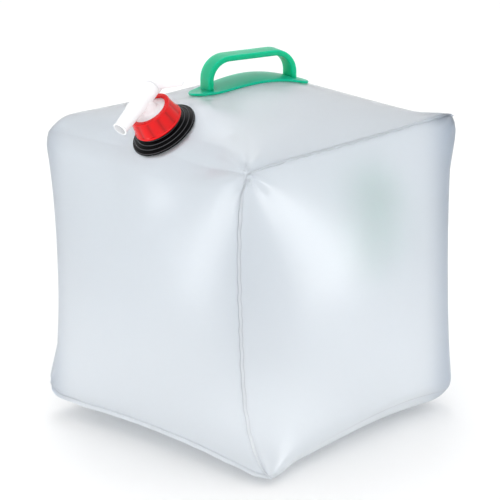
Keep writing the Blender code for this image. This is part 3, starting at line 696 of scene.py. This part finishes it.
def thread(name, radius, start):
    """One screw thread: a round wire along a helix, thinning out at both ends."""
    count, sides = THREAD_POINTS, THREAD_SIDES
    verts, faces = [], []
    for index in range(count):
        share = index / (count - 1)
        angle = 2 * math.pi * THREAD_TURNS * share
        wire = THREAD_WIRE * min(1.0, THREAD_THIN + THREAD_SWELL * min(share, 1 - share))
        height = start + THREAD_PITCH * THREAD_TURNS * share
        for side in range(sides):
            turn = 2 * math.pi * side / sides
            out, up = radius + wire * math.cos(turn), height + wire * math.sin(turn)
            verts.append((out * math.cos(angle), out * math.sin(angle), up))
    for index in range(count - 1):
        for side in range(sides):
            here, beyond = index * sides + side, index * sides + (side + 1) % sides
            faces.append((here, beyond, beyond + sides, here + sides))
    faces += [tuple(reversed(range(sides))), tuple(range((count - 1) * sides, count * sides))]
    mesh = bpy.data.meshes.new(name)
    mesh.from_pydata(verts, [], faces)
    return mesh


def flat_shape(name, outline, thickness, rounding, segments=4):
    """A closed outline of (x, y) made solid about z = 0, with rounded edges."""
    bm = bmesh.new()
    face = bm.faces.new([bm.verts.new((x, y, -thickness / 2)) for x, y in outline])
    face.normal_update()
    if face.normal.z > 0:
        face.normal_flip()
    made = bmesh.ops.extrude_face_region(bm, geom=[face])["geom"]
    for vert in (item for item in made if isinstance(item, bmesh.types.BMVert)):
        vert.co.z = thickness / 2
    bmesh.ops.recalc_face_normals(bm, faces=bm.faces)
    mesh = bpy.data.meshes.new(name)
    bm.to_mesh(mesh)
    bm.free()
    item = helper(name, mesh)
    soften(item, rounding, segments)
    return item


def arc(centre, radius, start, end, steps):
    """Points on an arc, angles in degrees."""
    angles = np.radians(np.linspace(start, end, steps + 1))
    return [(centre[0] + radius * math.cos(a), centre[1] + radius * math.sin(a)) for a in angles]


# The neck and its closure, in the neck's frame: z = 0 on the film's outer skin.


def neck_levels():
    """Heights of the stacked pieces above and below the film."""
    levels = {"seal_top": -FILM - GAP}
    levels["seal_foot"] = levels["seal_top"] - NECK_SEAL_THICK
    levels["backing_top"] = levels["seal_foot"] - GAP
    levels["backing_foot"] = levels["backing_top"] - BACKING_THICK
    levels["gasket_foot"] = NECK_TOP + GAP
    levels["gasket_top"] = levels["gasket_foot"] + GASKET_THICK
    levels["flange_foot"] = levels["gasket_top"] + GAP
    levels["flange_top"] = levels["flange_foot"] + TAP_FLANGE_THICK
    levels["lip_foot"] = levels["flange_top"] + GAP
    levels["ring_top"] = levels["lip_foot"] + RING_LIP
    levels["ring_foot"] = levels["ring_top"] - RING_HEIGHT
    levels["barrel"] = levels["ring_top"] + TAP_RISE
    return levels


def crest_highlight_share(place):
    """How near a place is to the crest of one of the collar's ridges, from 0 to 1: its painted
    highlight.
    """
    radius = math.hypot(place.x, place.y)
    share = (radius - RIDGE_INNER_RADIUS) / (FLANGE_RADIUS - RIDGE_INNER_RADIUS)
    if share <= RIDGES_FROM:
        return 0.0
    cone = RIDGE_TOP + (RIDGE_FOOT - RIDGE_TOP) * share
    return clamped((place.z - cone + CREST_HIGHLIGHT_BELOW) / CREST_HIGHLIGHT_DEPTH)


def make_collar(matrix, black):
    """The screw neck, its ridged flange and the spigot with its snap bead."""
    level = neck_levels()
    bead_top = level["backing_foot"] - GAP
    bead_foot = bead_top - 2 * SPIGOT_BEAD
    profile = [(NECK_ROOT, NECK_TOP), (NECK_ROOT, RIDGE_TOP)]
    for index in range(RIDGES):
        share = index / (RIDGES - 1)
        radius = RIDGE_INNER_RADIUS + (FLANGE_RADIUS - RIDGE_INNER_RADIUS) * share
        height = RIDGE_TOP + (RIDGE_FOOT - RIDGE_TOP) * share
        profile += [(radius + across, height + up) for across, up in RIDGE_SHAPE]
    profile += [
        (FLANGE_RADIUS, GAP),
        (SPIGOT_RADIUS, GAP),
        (SPIGOT_RADIUS, bead_top),
        (SPIGOT_RADIUS + SPIGOT_BEAD, bead_top - GAP),
        (SPIGOT_RADIUS + SPIGOT_BEAD, bead_top - SPIGOT_BEAD),
        (SPIGOT_RADIUS - GAP, bead_foot),
        (NECK_BORE, bead_foot),
        (NECK_BORE, NECK_TOP),
    ]
    body = lathe("collar", rounded(profile, COLLAR_ROUNDING))
    crest = NECK_ROOT + THREAD_DEPTH
    outside = thread("neck_thread", crest - THREAD_WIRE, THREAD_START)
    mesh = joined("neck_collar_look", [body, outside])
    # Painted highlight along the collar's ridge crests.
    mark(mesh, [crest_highlight_share(vert.co) for vert in mesh.vertices])
    mesh.transform(matrix)
    finished("neck_collar_look", mesh, black, "top_fittings", ["neck_collar"])


def make_ring(matrix, red):
    """The closure ring: a plain rim above and below its flutes, and its inner thread."""
    level = neck_levels()
    top, foot = level["ring_top"], level["ring_foot"]
    bore = NECK_ROOT + THREAD_DEPTH + THREAD_CLEAR
    slope = (RING_FOOT_RADIUS - RING_TOP_RADIUS) / RING_HEIGHT

    def groove_share(place):
        """0 off the fluted band and on the flutes' crests, and 1 in their grooves."""
        outside = math.hypot(place.x, place.y) > bore + GAP
        if not (outside and foot + FLUTE_FOOT < place.z < top - FLUTE_TOP):
            return 0.0
        return 1 - abs(math.sin(RING_FLUTES * math.atan2(place.y, place.x) / 2))

    outer = [
        (RING_TOP_RADIUS - RING_CHAMFER, top),
        (RING_TOP_RADIUS, top - RING_CHAMFER),
        (RING_TOP_RADIUS + RING_TOP_SWELL, top - RING_TOP_RIM),
        (RING_TOP_RADIUS + slope * RING_WAIST_TOP - RING_WAIST_DEPTH, top - RING_WAIST_TOP),
        (RING_FOOT_RADIUS - slope * RING_WAIST_FOOT - RING_WAIST_DEPTH, foot + RING_WAIST_FOOT),
        (RING_FOOT_RADIUS - slope * RING_FOOT_RIM + RING_FOOT_SWELL, foot + RING_FOOT_RIM),
        (RING_FOOT_RADIUS, foot + RING_CHAMFER),
        (RING_FOOT_RADIUS - RING_CHAMFER, foot),
    ]
    inner = [
        (bore, foot),
        (bore, level["lip_foot"]),
        (RING_OPENING, level["lip_foot"]),
        (RING_OPENING, top),
    ]
    body = lathe("ring", rounded(outer + inner, RING_ROUNDING), 2 * TURN_STEPS)
    for vert in body.vertices:
        radius = math.hypot(vert.co.x, vert.co.y)
        scale = 1 - 2 * RING_FLUTE_DEPTH * groove_share(vert.co) / radius
        vert.co.x *= scale
        vert.co.y *= scale
    start = THREAD_START + THREAD_PITCH / 2
    inside = thread("ring_thread", bore - THREAD_DEPTH + THREAD_WIRE, start)
    mesh = joined("closure_ring_look", [body, inside])
    # Painted shade in the flutes' grooves.
    mark(mesh, [groove_share(vert.co) ** FLUTE_SHADE for vert in mesh.vertices])
    mesh.transform(matrix)
    finished("closure_ring_look", mesh, red, "closure", ["closure_ring"])


def barrel_matrix():
    """The tap's cross barrel: its own z runs downhill, out of the spout, and its x to the right."""
    height = neck_levels()["barrel"]
    return Matrix.Translation((0, 0, height)) @ Matrix.Rotation(math.pi / 2, 4, "X")


def make_tap(matrix, white):
    """The tap: its flange and tube, and the cross barrel with the spout, bored through."""
    level = neck_levels()
    foot, top, axis = level["flange_foot"], level["flange_top"], level["barrel"]
    pilot = GASKET_INNER - GAP
    body = lathe("tap_body", rounded([
        (0.0, axis - BARREL_RADIUS / 4),
        (TAP_TUBE_RADIUS, axis - BARREL_RADIUS / 4),
        (TAP_TUBE_RADIUS, top + TAP_TUBE_FILLET),
        (TAP_TUBE_RADIUS + TAP_TUBE_FILLET, top),
        (TAP_FLANGE_RADIUS, top),
        (TAP_FLANGE_RADIUS, foot),
        (pilot, foot),
        (pilot, foot - TAP_PILOT_LENGTH),
        (pilot - TAP_PILOT_WALL, foot - TAP_PILOT_LENGTH),
        (pilot - TAP_PILOT_WALL, foot + GAP),
        (0.0, foot + GAP),
    ], TAP_ROUNDING))
    shoulder = KEY_DOWN + SHOULDER
    barrel = lathe("tap_barrel", rounded([
        (0.0, SPOUT_DOWN),
        (SPOUT_RADIUS, SPOUT_DOWN),
        (SPOUT_RADIUS, SPOUT_DOWN - SPOUT_RIM),
        (SPOUT_RADIUS - SPOUT_WAIST, SPOUT_DOWN - 2 * SPOUT_RIM),
        (SPOUT_RADIUS + SPOUT_WAIST, shoulder + SHOULDER_REACH),
        (BARREL_RADIUS, shoulder),
        (BARREL_RADIUS, -BARREL_UP),
        (0.0, -BARREL_UP),
    ], BARREL_ROUNDING))
    flow = lathe("flow", [
        (0.0, 2 * SPOUT_DOWN), (SPOUT_BORE, 2 * SPOUT_DOWN), (SPOUT_BORE, KEY_DOWN),
        (KEY_BORE, KEY_DOWN), (KEY_BORE, -2 * BARREL_UP), (0.0, -2 * BARREL_UP),
    ])
    inlet = lathe("inlet", [
        (0.0, axis), (TAP_TUBE_BORE, axis), (TAP_TUBE_BORE, foot - 2 * TAP_PILOT_LENGTH),
        (0.0, foot - 2 * TAP_PILOT_LENGTH),
    ])
    mesh = carved(helper("tap_body", body), [
        (helper("barrel", barrel, barrel_matrix()), "UNION"),
        (helper("inlet", inlet), "DIFFERENCE"),
        (helper("flow", flow, barrel_matrix()), "DIFFERENCE"),
    ])
    mesh.transform(matrix)
    finished("tap_body_look", mesh, white, "tap", ["tap_body"])


def make_key(matrix, white):
    """The hollow plug with its grooves and port, and its cap and lever."""
    plug = KEY_BORE - GAP
    groove = plug - SEAL_GROOVE
    cap_foot = -BARREL_UP - GAP
    cap_top = cap_foot - LEVER_THICK
    lip_top = KEY_DOWN + GAP
    profile = [
        (0.0, lip_top + KEY_LIP),
        (plug, lip_top + KEY_LIP),
        (SPOUT_BORE - GAP, lip_top + KEY_LIP / 2),
        (SPOUT_BORE - GAP, lip_top),
        (plug, lip_top),
    ]
    for middle in sorted(SEAL_PLACES, reverse=True):
        start, end = middle + (SEAL_GROOVE + GAP) / 2, middle - (SEAL_GROOVE + GAP) / 2
        profile += [(plug, start), (groove, start), (groove, end), (plug, end)]
    profile += [(plug, cap_foot), (CAP_RADIUS, cap_foot), (CAP_RADIUS, cap_top), (0.0, cap_top)]
    tip = LEVER_LENGTH - LEVER_TIP
    outline = arc((tip, 0), LEVER_TIP, -85, 85, 24) + arc((0, 0), LEVER_ROOT, 95, 265, 16)
    item = helper("key", lathe("key", rounded(profile, BARREL_ROUNDING)))
    lever = flat_shape("lever", outline, LEVER_THICK - LEVER_THINNER, LEVER_ROUNDING)
    turn = Matrix.Rotation(LEVER_ANGLE, 4, "Z")
    lever.matrix_world = Matrix.Translation((0, 0, cap_foot - LEVER_THICK / 2)) @ turn
    hollow = helper("hollow", lathe("hollow", [
        (0.0, 2 * KEY_DOWN), (KEY_HOLLOW, 2 * KEY_DOWN),
        (KEY_HOLLOW, -KEY_HOLLOW), (0.0, -KEY_HOLLOW),
    ], KEY_STEPS))
    port = helper("port", lathe("port", [
        (0.0, 2 * KEY_BORE), (PORT_RADIUS, 2 * KEY_BORE), (PORT_RADIUS, 0), (0.0, 0),
    ], KEY_STEPS), Matrix.Rotation(-math.pi / 2, 4, "Y"))
    mesh = carved(item, [(lever, "UNION"), (hollow, "DIFFERENCE"), (port, "DIFFERENCE")])
    mesh.transform(matrix @ barrel_matrix())
    finished("tap_key_look", mesh, white, "key", ["tap_key"])


# The handles, in their panel's frame: x along the grip, z out of the bag.


def drop(film, start, way):
    """Where a straight line from outside meets the film's outer skin."""
    graph = bpy.context.evaluated_depsgraph_get()
    _, spot, _, _ = film.evaluated_get(graph).ray_cast(start, way)
    return spot


def handle_frame(film, axis, at, heading):
    """The handle's place on its panel: x along the grip, z out of the bag, on the outer skin."""
    others = [other for other in range(3) if other != axis]
    along, out, start = Vector((0, 0, 0)), Vector((0, 0, 0)), Vector((0, 0, 0))
    along[others[0]], along[others[1]] = math.cos(heading), math.sin(heading)
    out[axis] = 1
    start[others[0]], start[others[1]] = at
    turn = Matrix((along, out.cross(along), out)).transposed().to_4x4()
    return Matrix.Translation(drop(film, start + 2 * EDGE * out, -out)) @ turn


def laid_on(film, matrix, flat, lift):
    """Places (x, y) of the handle's frame dropped onto the film, and lifted off its outer skin."""
    out = matrix.col[2].xyz
    inverse = matrix.inverted()
    spots = [drop(film, matrix @ Vector((x, y, EDGE)), -out) for x, y in flat]
    return [inverse @ (spot + out * lift) for spot in spots]


def grip_outline():
    """The arch seen from its side: two legs and a level strap with rounded corners."""
    half = GRIP_SPAN / 2
    height = GRIP_HEIGHT
    inner = GRIP_CORNER - GRIP_THICK
    right = (half - GRIP_CORNER, height - GRIP_CORNER)
    left = (GRIP_CORNER - half, height - GRIP_CORNER)
    points = [(half, 0)]
    points += arc(right, GRIP_CORNER, 0, 90, ARC_STEPS)
    points += arc(left, GRIP_CORNER, 90, 180, ARC_STEPS)
    points += [(-half, 0), (GRIP_THICK - half, 0)]
    points += arc(left, inner, 180, 90, ARC_STEPS)
    points += arc(right, inner, 90, 0, ARC_STEPS)
    points += [(half - GRIP_THICK, 0)]
    return points


def make_handle(name, film, place, green, body, node):
    """A handle whose oval plate follows the film, with the feet of its grip on the plate."""
    matrix = handle_frame(film, *place)
    bm = bmesh.new()
    cells_along, cells_across = PLATE_CELLS
    bmesh.ops.create_grid(bm, x_segments=cells_along, y_segments=cells_across, size=1.0)
    flat = []
    for vert in bm.verts:
        u, v = vert.co.x, vert.co.y
        round_x, round_y = u * math.sqrt(1 - v * v / 2), v * math.sqrt(1 - u * u / 2)
        x = round_x * PLATE_WIDTH / 2 + u * (PLATE_LENGTH - PLATE_WIDTH) / 2
        flat.append((x, round_y * PLATE_WIDTH / 2))
    for vert, spot in zip(bm.verts, laid_on(film, matrix, flat, PLATE_GAP)):
        vert.co = spot
    mesh = bpy.data.meshes.new(name)
    bm.to_mesh(mesh)
    bm.free()
    handle = helper(name, mesh)
    plate = handle.modifiers.new("Plate", "SOLIDIFY")
    plate.thickness = PLATE_THICK
    plate.offset = 1.0
    plate.use_even_offset = True
    soften(handle, PLATE_ROUNDING, 3)
    grip = flat_shape(name + "_grip", grip_outline(), GRIP_WIDTH, GRIP_ROUNDING)
    turn = Matrix.Rotation(math.pi / 2, 4, "X")
    feet = [vert for vert in grip.data.vertices if vert.co.y < 1e-5]
    flat = [(turn @ vert.co).xy for vert in feet]
    for vert, spot in zip(feet, laid_on(film, matrix, flat, PLATE_GAP + PLATE_THICK / 2)):
        vert.co = turn.inverted() @ spot
    grip.matrix_world = turn
    mesh = carved(handle, [(grip, "UNION")])
    mesh.transform(matrix)
    finished(name, mesh, green, body, [node], HANDLE_SMOOTH_ANGLE)


# Materials.


def opaque(colour):
    """The colour with its alpha."""
    return (*colour, 1)


def colour_mix(nodes, links, share, one, other):
    """What one socket gives, mixed with a plain colour by the share that another gives."""
    mixed = nodes.new("ShaderNodeMix")
    mixed.data_type = "RGBA"
    mixed.inputs[7].default_value = opaque(other)
    links.new(share, mixed.inputs[0])
    links.new(one, mixed.inputs[6])
    return mixed.outputs[2]


def marks(nodes, name=MARK):
    """The numbers that mark() gave the mesh."""
    marked = nodes.new("ShaderNodeAttribute")
    marked.attribute_name = name
    return marked.outputs["Fac"]


def math_node(nodes, links, operation, one, other):
    """One calculation on what two sockets give."""
    node = nodes.new("ShaderNodeMath")
    node.operation = operation
    links.new(one, node.inputs[0])
    links.new(other, node.inputs[1])
    return node.outputs["Value"]


def smooth_range(nodes, links, value, start, end):
    """0 where the value is at the start and 1 at the end, with a smooth step between."""
    node = nodes.new("ShaderNodeMapRange")
    node.interpolation_type = "SMOOTHSTEP"
    node.inputs["From Min"].default_value = start
    node.inputs["From Max"].default_value = end
    links.new(value, node.inputs["Value"])
    return node.outputs["Result"]


def plastic(name, colour, roughness, specular=0.5, spread=0.04, scale=60.0):
    """A moulded plastic with a little unevenness in its colour and its shine."""
    material = bpy.data.materials.new(name)
    material.use_nodes = True
    nodes, links = material.node_tree.nodes, material.node_tree.links
    shader = nodes["Principled BSDF"]
    shader.inputs["Metallic"].default_value = 0.0
    shader.inputs["Specular IOR Level"].default_value = specular
    place = nodes.new("ShaderNodeTexCoord")
    noise = nodes.new("ShaderNodeTexNoise")
    noise.inputs["Scale"].default_value = scale
    noise.inputs["Detail"].default_value = 4.0
    links.new(place.outputs["Object"], noise.inputs["Vector"])
    shades = nodes.new("ShaderNodeMix")
    shades.data_type = "RGBA"
    shades.inputs[6].default_value = opaque(channel * (1 - spread) for channel in colour)
    shades.inputs[7].default_value = opaque(min(channel * (1 + spread), 1) for channel in colour)
    links.new(noise.outputs["Fac"], shades.inputs[0])
    links.new(shades.outputs[2], shader.inputs["Base Color"])
    shine = nodes.new("ShaderNodeMapRange")
    shine.inputs["To Min"].default_value = roughness * (1 - SHINE_SPREAD)
    shine.inputs["To Max"].default_value = roughness * (1 + SHINE_SPREAD)
    links.new(noise.outputs["Fac"], shine.inputs["Value"])
    links.new(shine.outputs["Result"], shader.inputs["Roughness"])
    return material


def marked_plastic(name, colour, other, roughness, specular):
    """A moulded plastic that turns to another colour where its mesh is marked."""
    material = plastic(name, colour, roughness, specular)
    nodes, links = material.node_tree.nodes, material.node_tree.links
    plain = next(node for node in nodes if node.bl_idname == "ShaderNodeMix").outputs[2]
    mixed = colour_mix(nodes, links, marks(nodes), plain, other)
    links.new(mixed, nodes["Principled BSDF"].inputs["Base Color"])
    return material


def film_plastic():
    """Milky film, with painted shade along two upright edges and along the front weld's lip, and
    cloudier below as painted light.
    """
    material = plastic("milky_film", FILM_COLOUR, FILM_ROUGHNESS, spread=0.01, scale=8.0)
    nodes, links = material.node_tree.nodes, material.node_tree.links
    shader = nodes["Principled BSDF"]
    shader.inputs["IOR"].default_value = FILM_IOR
    shader.inputs["Transmission Weight"].default_value = FILM_CLEAR
    place = next(node for node in nodes if node.bl_idname == "ShaderNodeTexCoord")
    plain = next(node for node in nodes if node.bl_idname == "ShaderNodeMix").outputs[2]

    # Painted shade along the two upright edges, where x times y is large.
    moved = nodes.new("ShaderNodeVectorMath")
    moved.inputs[1].default_value = FOLD_SHADE_SHIFT
    links.new(place.outputs["Object"], moved.inputs[0])
    sides = nodes.new("ShaderNodeSeparateXYZ")
    links.new(moved.outputs["Vector"], sides.inputs["Vector"])
    corner = math_node(nodes, links, "MULTIPLY", sides.outputs["X"], sides.outputs["Y"])
    ends = FOLD_SHADE_FROM * HALF ** 2, FOLD_SHADE_TO * HALF ** 2
    fold = smooth_range(nodes, links, corner, *ends)
    shaded = colour_mix(nodes, links, fold, plain, FOLD_PAINTED_SHADE)

    lip = marks(nodes)
    # Painted shade: two thin dark lines across the lip, faded by their strength along the weld.
    line = nodes.new("ShaderNodeValToRGB")
    stops = line.color_ramp.elements
    while len(stops) < len(LIP_PAINTED_SHADE_AT):
        stops.new(0.5)
    for stop, (place_on, share) in zip(stops, LIP_PAINTED_SHADE_AT):
        stop.position = place_on
        stop.color = (share, share, share, 1)
    links.new(lip, line.inputs["Fac"])
    faded = math_node(nodes, links, "MULTIPLY", line.outputs["Color"], marks(nodes, PAINTED_SHADE_MARK))
    lined = colour_mix(nodes, links, faded, shaded, LIP_PAINTED_SHADE)
    links.new(lined, shader.inputs["Base Color"])

    clear = nodes.new("ShaderNodeMapRange")
    clear.inputs["From Max"].default_value = LIP_CLEAR_FROM
    clear.inputs["To Min"].default_value = FILM_CLEAR
    clear.inputs["To Max"].default_value = LIP_CLEAR
    links.new(lip, clear.inputs["Value"])
    # Painted light: less clear near the floor, so that the film reads lighter there.
    low = smooth_range(nodes, links, sides.outputs["Z"], LOW_PAINTED_LIGHT_FROM, LOW_PAINTED_LIGHT_TO)
    clouded = nodes.new("ShaderNodeMath")
    clouded.operation = "MULTIPLY_ADD"
    clouded.inputs[1].default_value = -LOW_PAINTED_LIGHT
    links.new(low, clouded.inputs[0])
    links.new(clear.outputs["Result"], clouded.inputs[2])
    links.new(clouded.outputs["Value"], shader.inputs["Transmission Weight"])
    return material


# The picture: camera, light and floor.


def make_camera():
    """Aimed a little above and left of the bag's middle, as the photograph frames it."""
    level = math.cos(CAMERA_ELEVATION)
    back = Vector((
        math.sin(CAMERA_AZIMUTH) * level, -math.cos(CAMERA_AZIMUTH) * level,
        math.sin(CAMERA_ELEVATION),
    ))
    right = Vector((0, 0, 1)).cross(back).normalized()
    up = back.cross(right)
    place = Vector(CAMERA_MIDDLE) + back * CAMERA_DISTANCE
    aim = Vector(CAMERA_MIDDLE) - right * AIM_LEFT + up * AIM_UP
    toward = (place - aim).normalized()
    side = Vector((0, 0, 1)).cross(toward).normalized()
    turn = Matrix((side, toward.cross(side), toward)).transposed().to_4x4()
    camera = bpy.data.cameras.new("camera")
    camera.lens = CAMERA_LENS
    camera.sensor_width = CAMERA_SENSOR
    camera.clip_start = CAMERA_NEAR
    matrix = Matrix.Translation(place) @ turn @ Matrix.Rotation(CAMERA_ROLL, 4, "Z")
    bpy.context.scene.camera = helper("camera", camera, matrix)


def make_light(name, place, aim, size, power):
    """A round soft light that the camera doesn't see."""
    light = bpy.data.lights.new(name, "AREA")
    light.shape = "DISK"
    light.size = size
    light.energy = power
    item = helper(name, light)
    item.location = place
    item.rotation_euler = (Vector(place) - Vector(aim)).to_track_quat("Z", "Y").to_euler()
    item.visible_camera = False


def make_stage():
    """A white floor, which glows evenly for the rays that mirror it or shine through the film,
    a white world and the lights."""
    mesh = bpy.data.meshes.new("floor")
    square = ((-1, -1), (1, -1), (1, 1), (-1, 1))
    corners = [(x * FLOOR_REACH, y * FLOOR_REACH, 0) for x, y in square]
    mesh.from_pydata(corners, [], [(0, 1, 2, 3)])
    paint = plastic("floor_paint", *FLOOR_PAINT, spread=0.005)
    nodes, links = paint.node_tree.nodes, paint.node_tree.links
    path = nodes.new("ShaderNodeLightPath").outputs
    seen = math_node(nodes, links, "MAXIMUM", path["Is Glossy Ray"], path["Is Transmission Ray"])
    pale = nodes.new("ShaderNodeEmission")
    pale.inputs["Color"].default_value = opaque(FLOOR_GLOW)
    surface = nodes.new("ShaderNodeMixShader")
    links.new(seen, surface.inputs[0])
    links.new(nodes["Principled BSDF"].outputs["BSDF"], surface.inputs[1])
    links.new(pale.outputs["Emission"], surface.inputs[2])
    links.new(surface.outputs["Shader"], nodes["Material Output"].inputs["Surface"])
    floor = finished("floor", mesh, paint)
    world = bpy.data.worlds.new("studio")
    bpy.context.scene.world = world
    world.use_nodes = True
    background = world.node_tree.nodes["Background"]
    background.inputs["Color"].default_value = (1.0, 1.0, 1.0, 1)
    background.inputs["Strength"].default_value = 1.0
    for name, light in LIGHTS.items():
        make_light(name, *light)


def make_plastics():
    """The fittings' materials, also given to the CAD nodes that show as they are."""
    colour, roughness, specular = GREEN
    green = plastic("green_plastic", colour, roughness, specular)
    glow = green.node_tree.nodes["Principled BSDF"]
    glow.inputs["Subsurface Weight"].default_value = 1.0
    glow.inputs["Subsurface Radius"].default_value = GREEN_GLOW
    glow.inputs["Subsurface Scale"].default_value = GREEN_GLOW_SCALE
    plastics = {
        "green": green,
        "black": marked_plastic("black_plastic", *BLACK),
        "red": marked_plastic("red_plastic", *RED),
        "white": plastic("white_plastic", *WHITE),
        "rubber": plastic("pale_rubber", *RUBBER),
    }
    for node, name in BARE_NODES.items():
        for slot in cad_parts[node].material_slots:
            slot.material = plastics[name]
    return plastics


def main():
    """Builds the bag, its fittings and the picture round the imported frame."""
    film = film_plastic()
    plastics = make_plastics()
    green, white = plastics["green"], plastics["white"]

    seat, right, uphill, outward = neck_axes()
    turn = Matrix((right, uphill, outward)).transposed().to_4x4()
    neck = Matrix.Translation(seat + outward * FILM) @ turn

    upper = film_half("bag_upper_skin", UPPER_POLE)
    lower = film_half("bag_lower_skin", LOWER_POLE)
    bpy.context.view_layer.update()
    make_handle("top_handle_look", upper, TOP_HANDLE, green, "top_fittings", "top_handle")
    make_handle("rear_handle_look", lower, REAR_HANDLE, green, "rear_fitting", "rear_handle")
    radius = SPIGOT_RADIUS + GAP
    hole = helper("hole", lathe("hole", [
        (0.0, HOLE_REACH), (radius, HOLE_REACH), (radius, -HOLE_REACH), (0.0, -HOLE_REACH),
    ]), neck)
    combine(upper, hole, "DIFFERENCE")
    for item, node in ((upper, "bag_upper_half"), (lower, "bag_lower_half")):
        name = item.name
        mesh = baked(item)
        skin = finished(name, mesh, film, None, [node], FILM_SMOOTH_ANGLE)
        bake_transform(skin)
    bpy.data.objects.remove(hole)

    make_collar(neck, plastics["black"])
    make_ring(neck, plastics["red"])
    make_tap(neck, white)
    make_key(neck, white)
    make_camera()
    make_stage()
    bpy.context.scene.view_settings.view_transform = "Standard"


main()
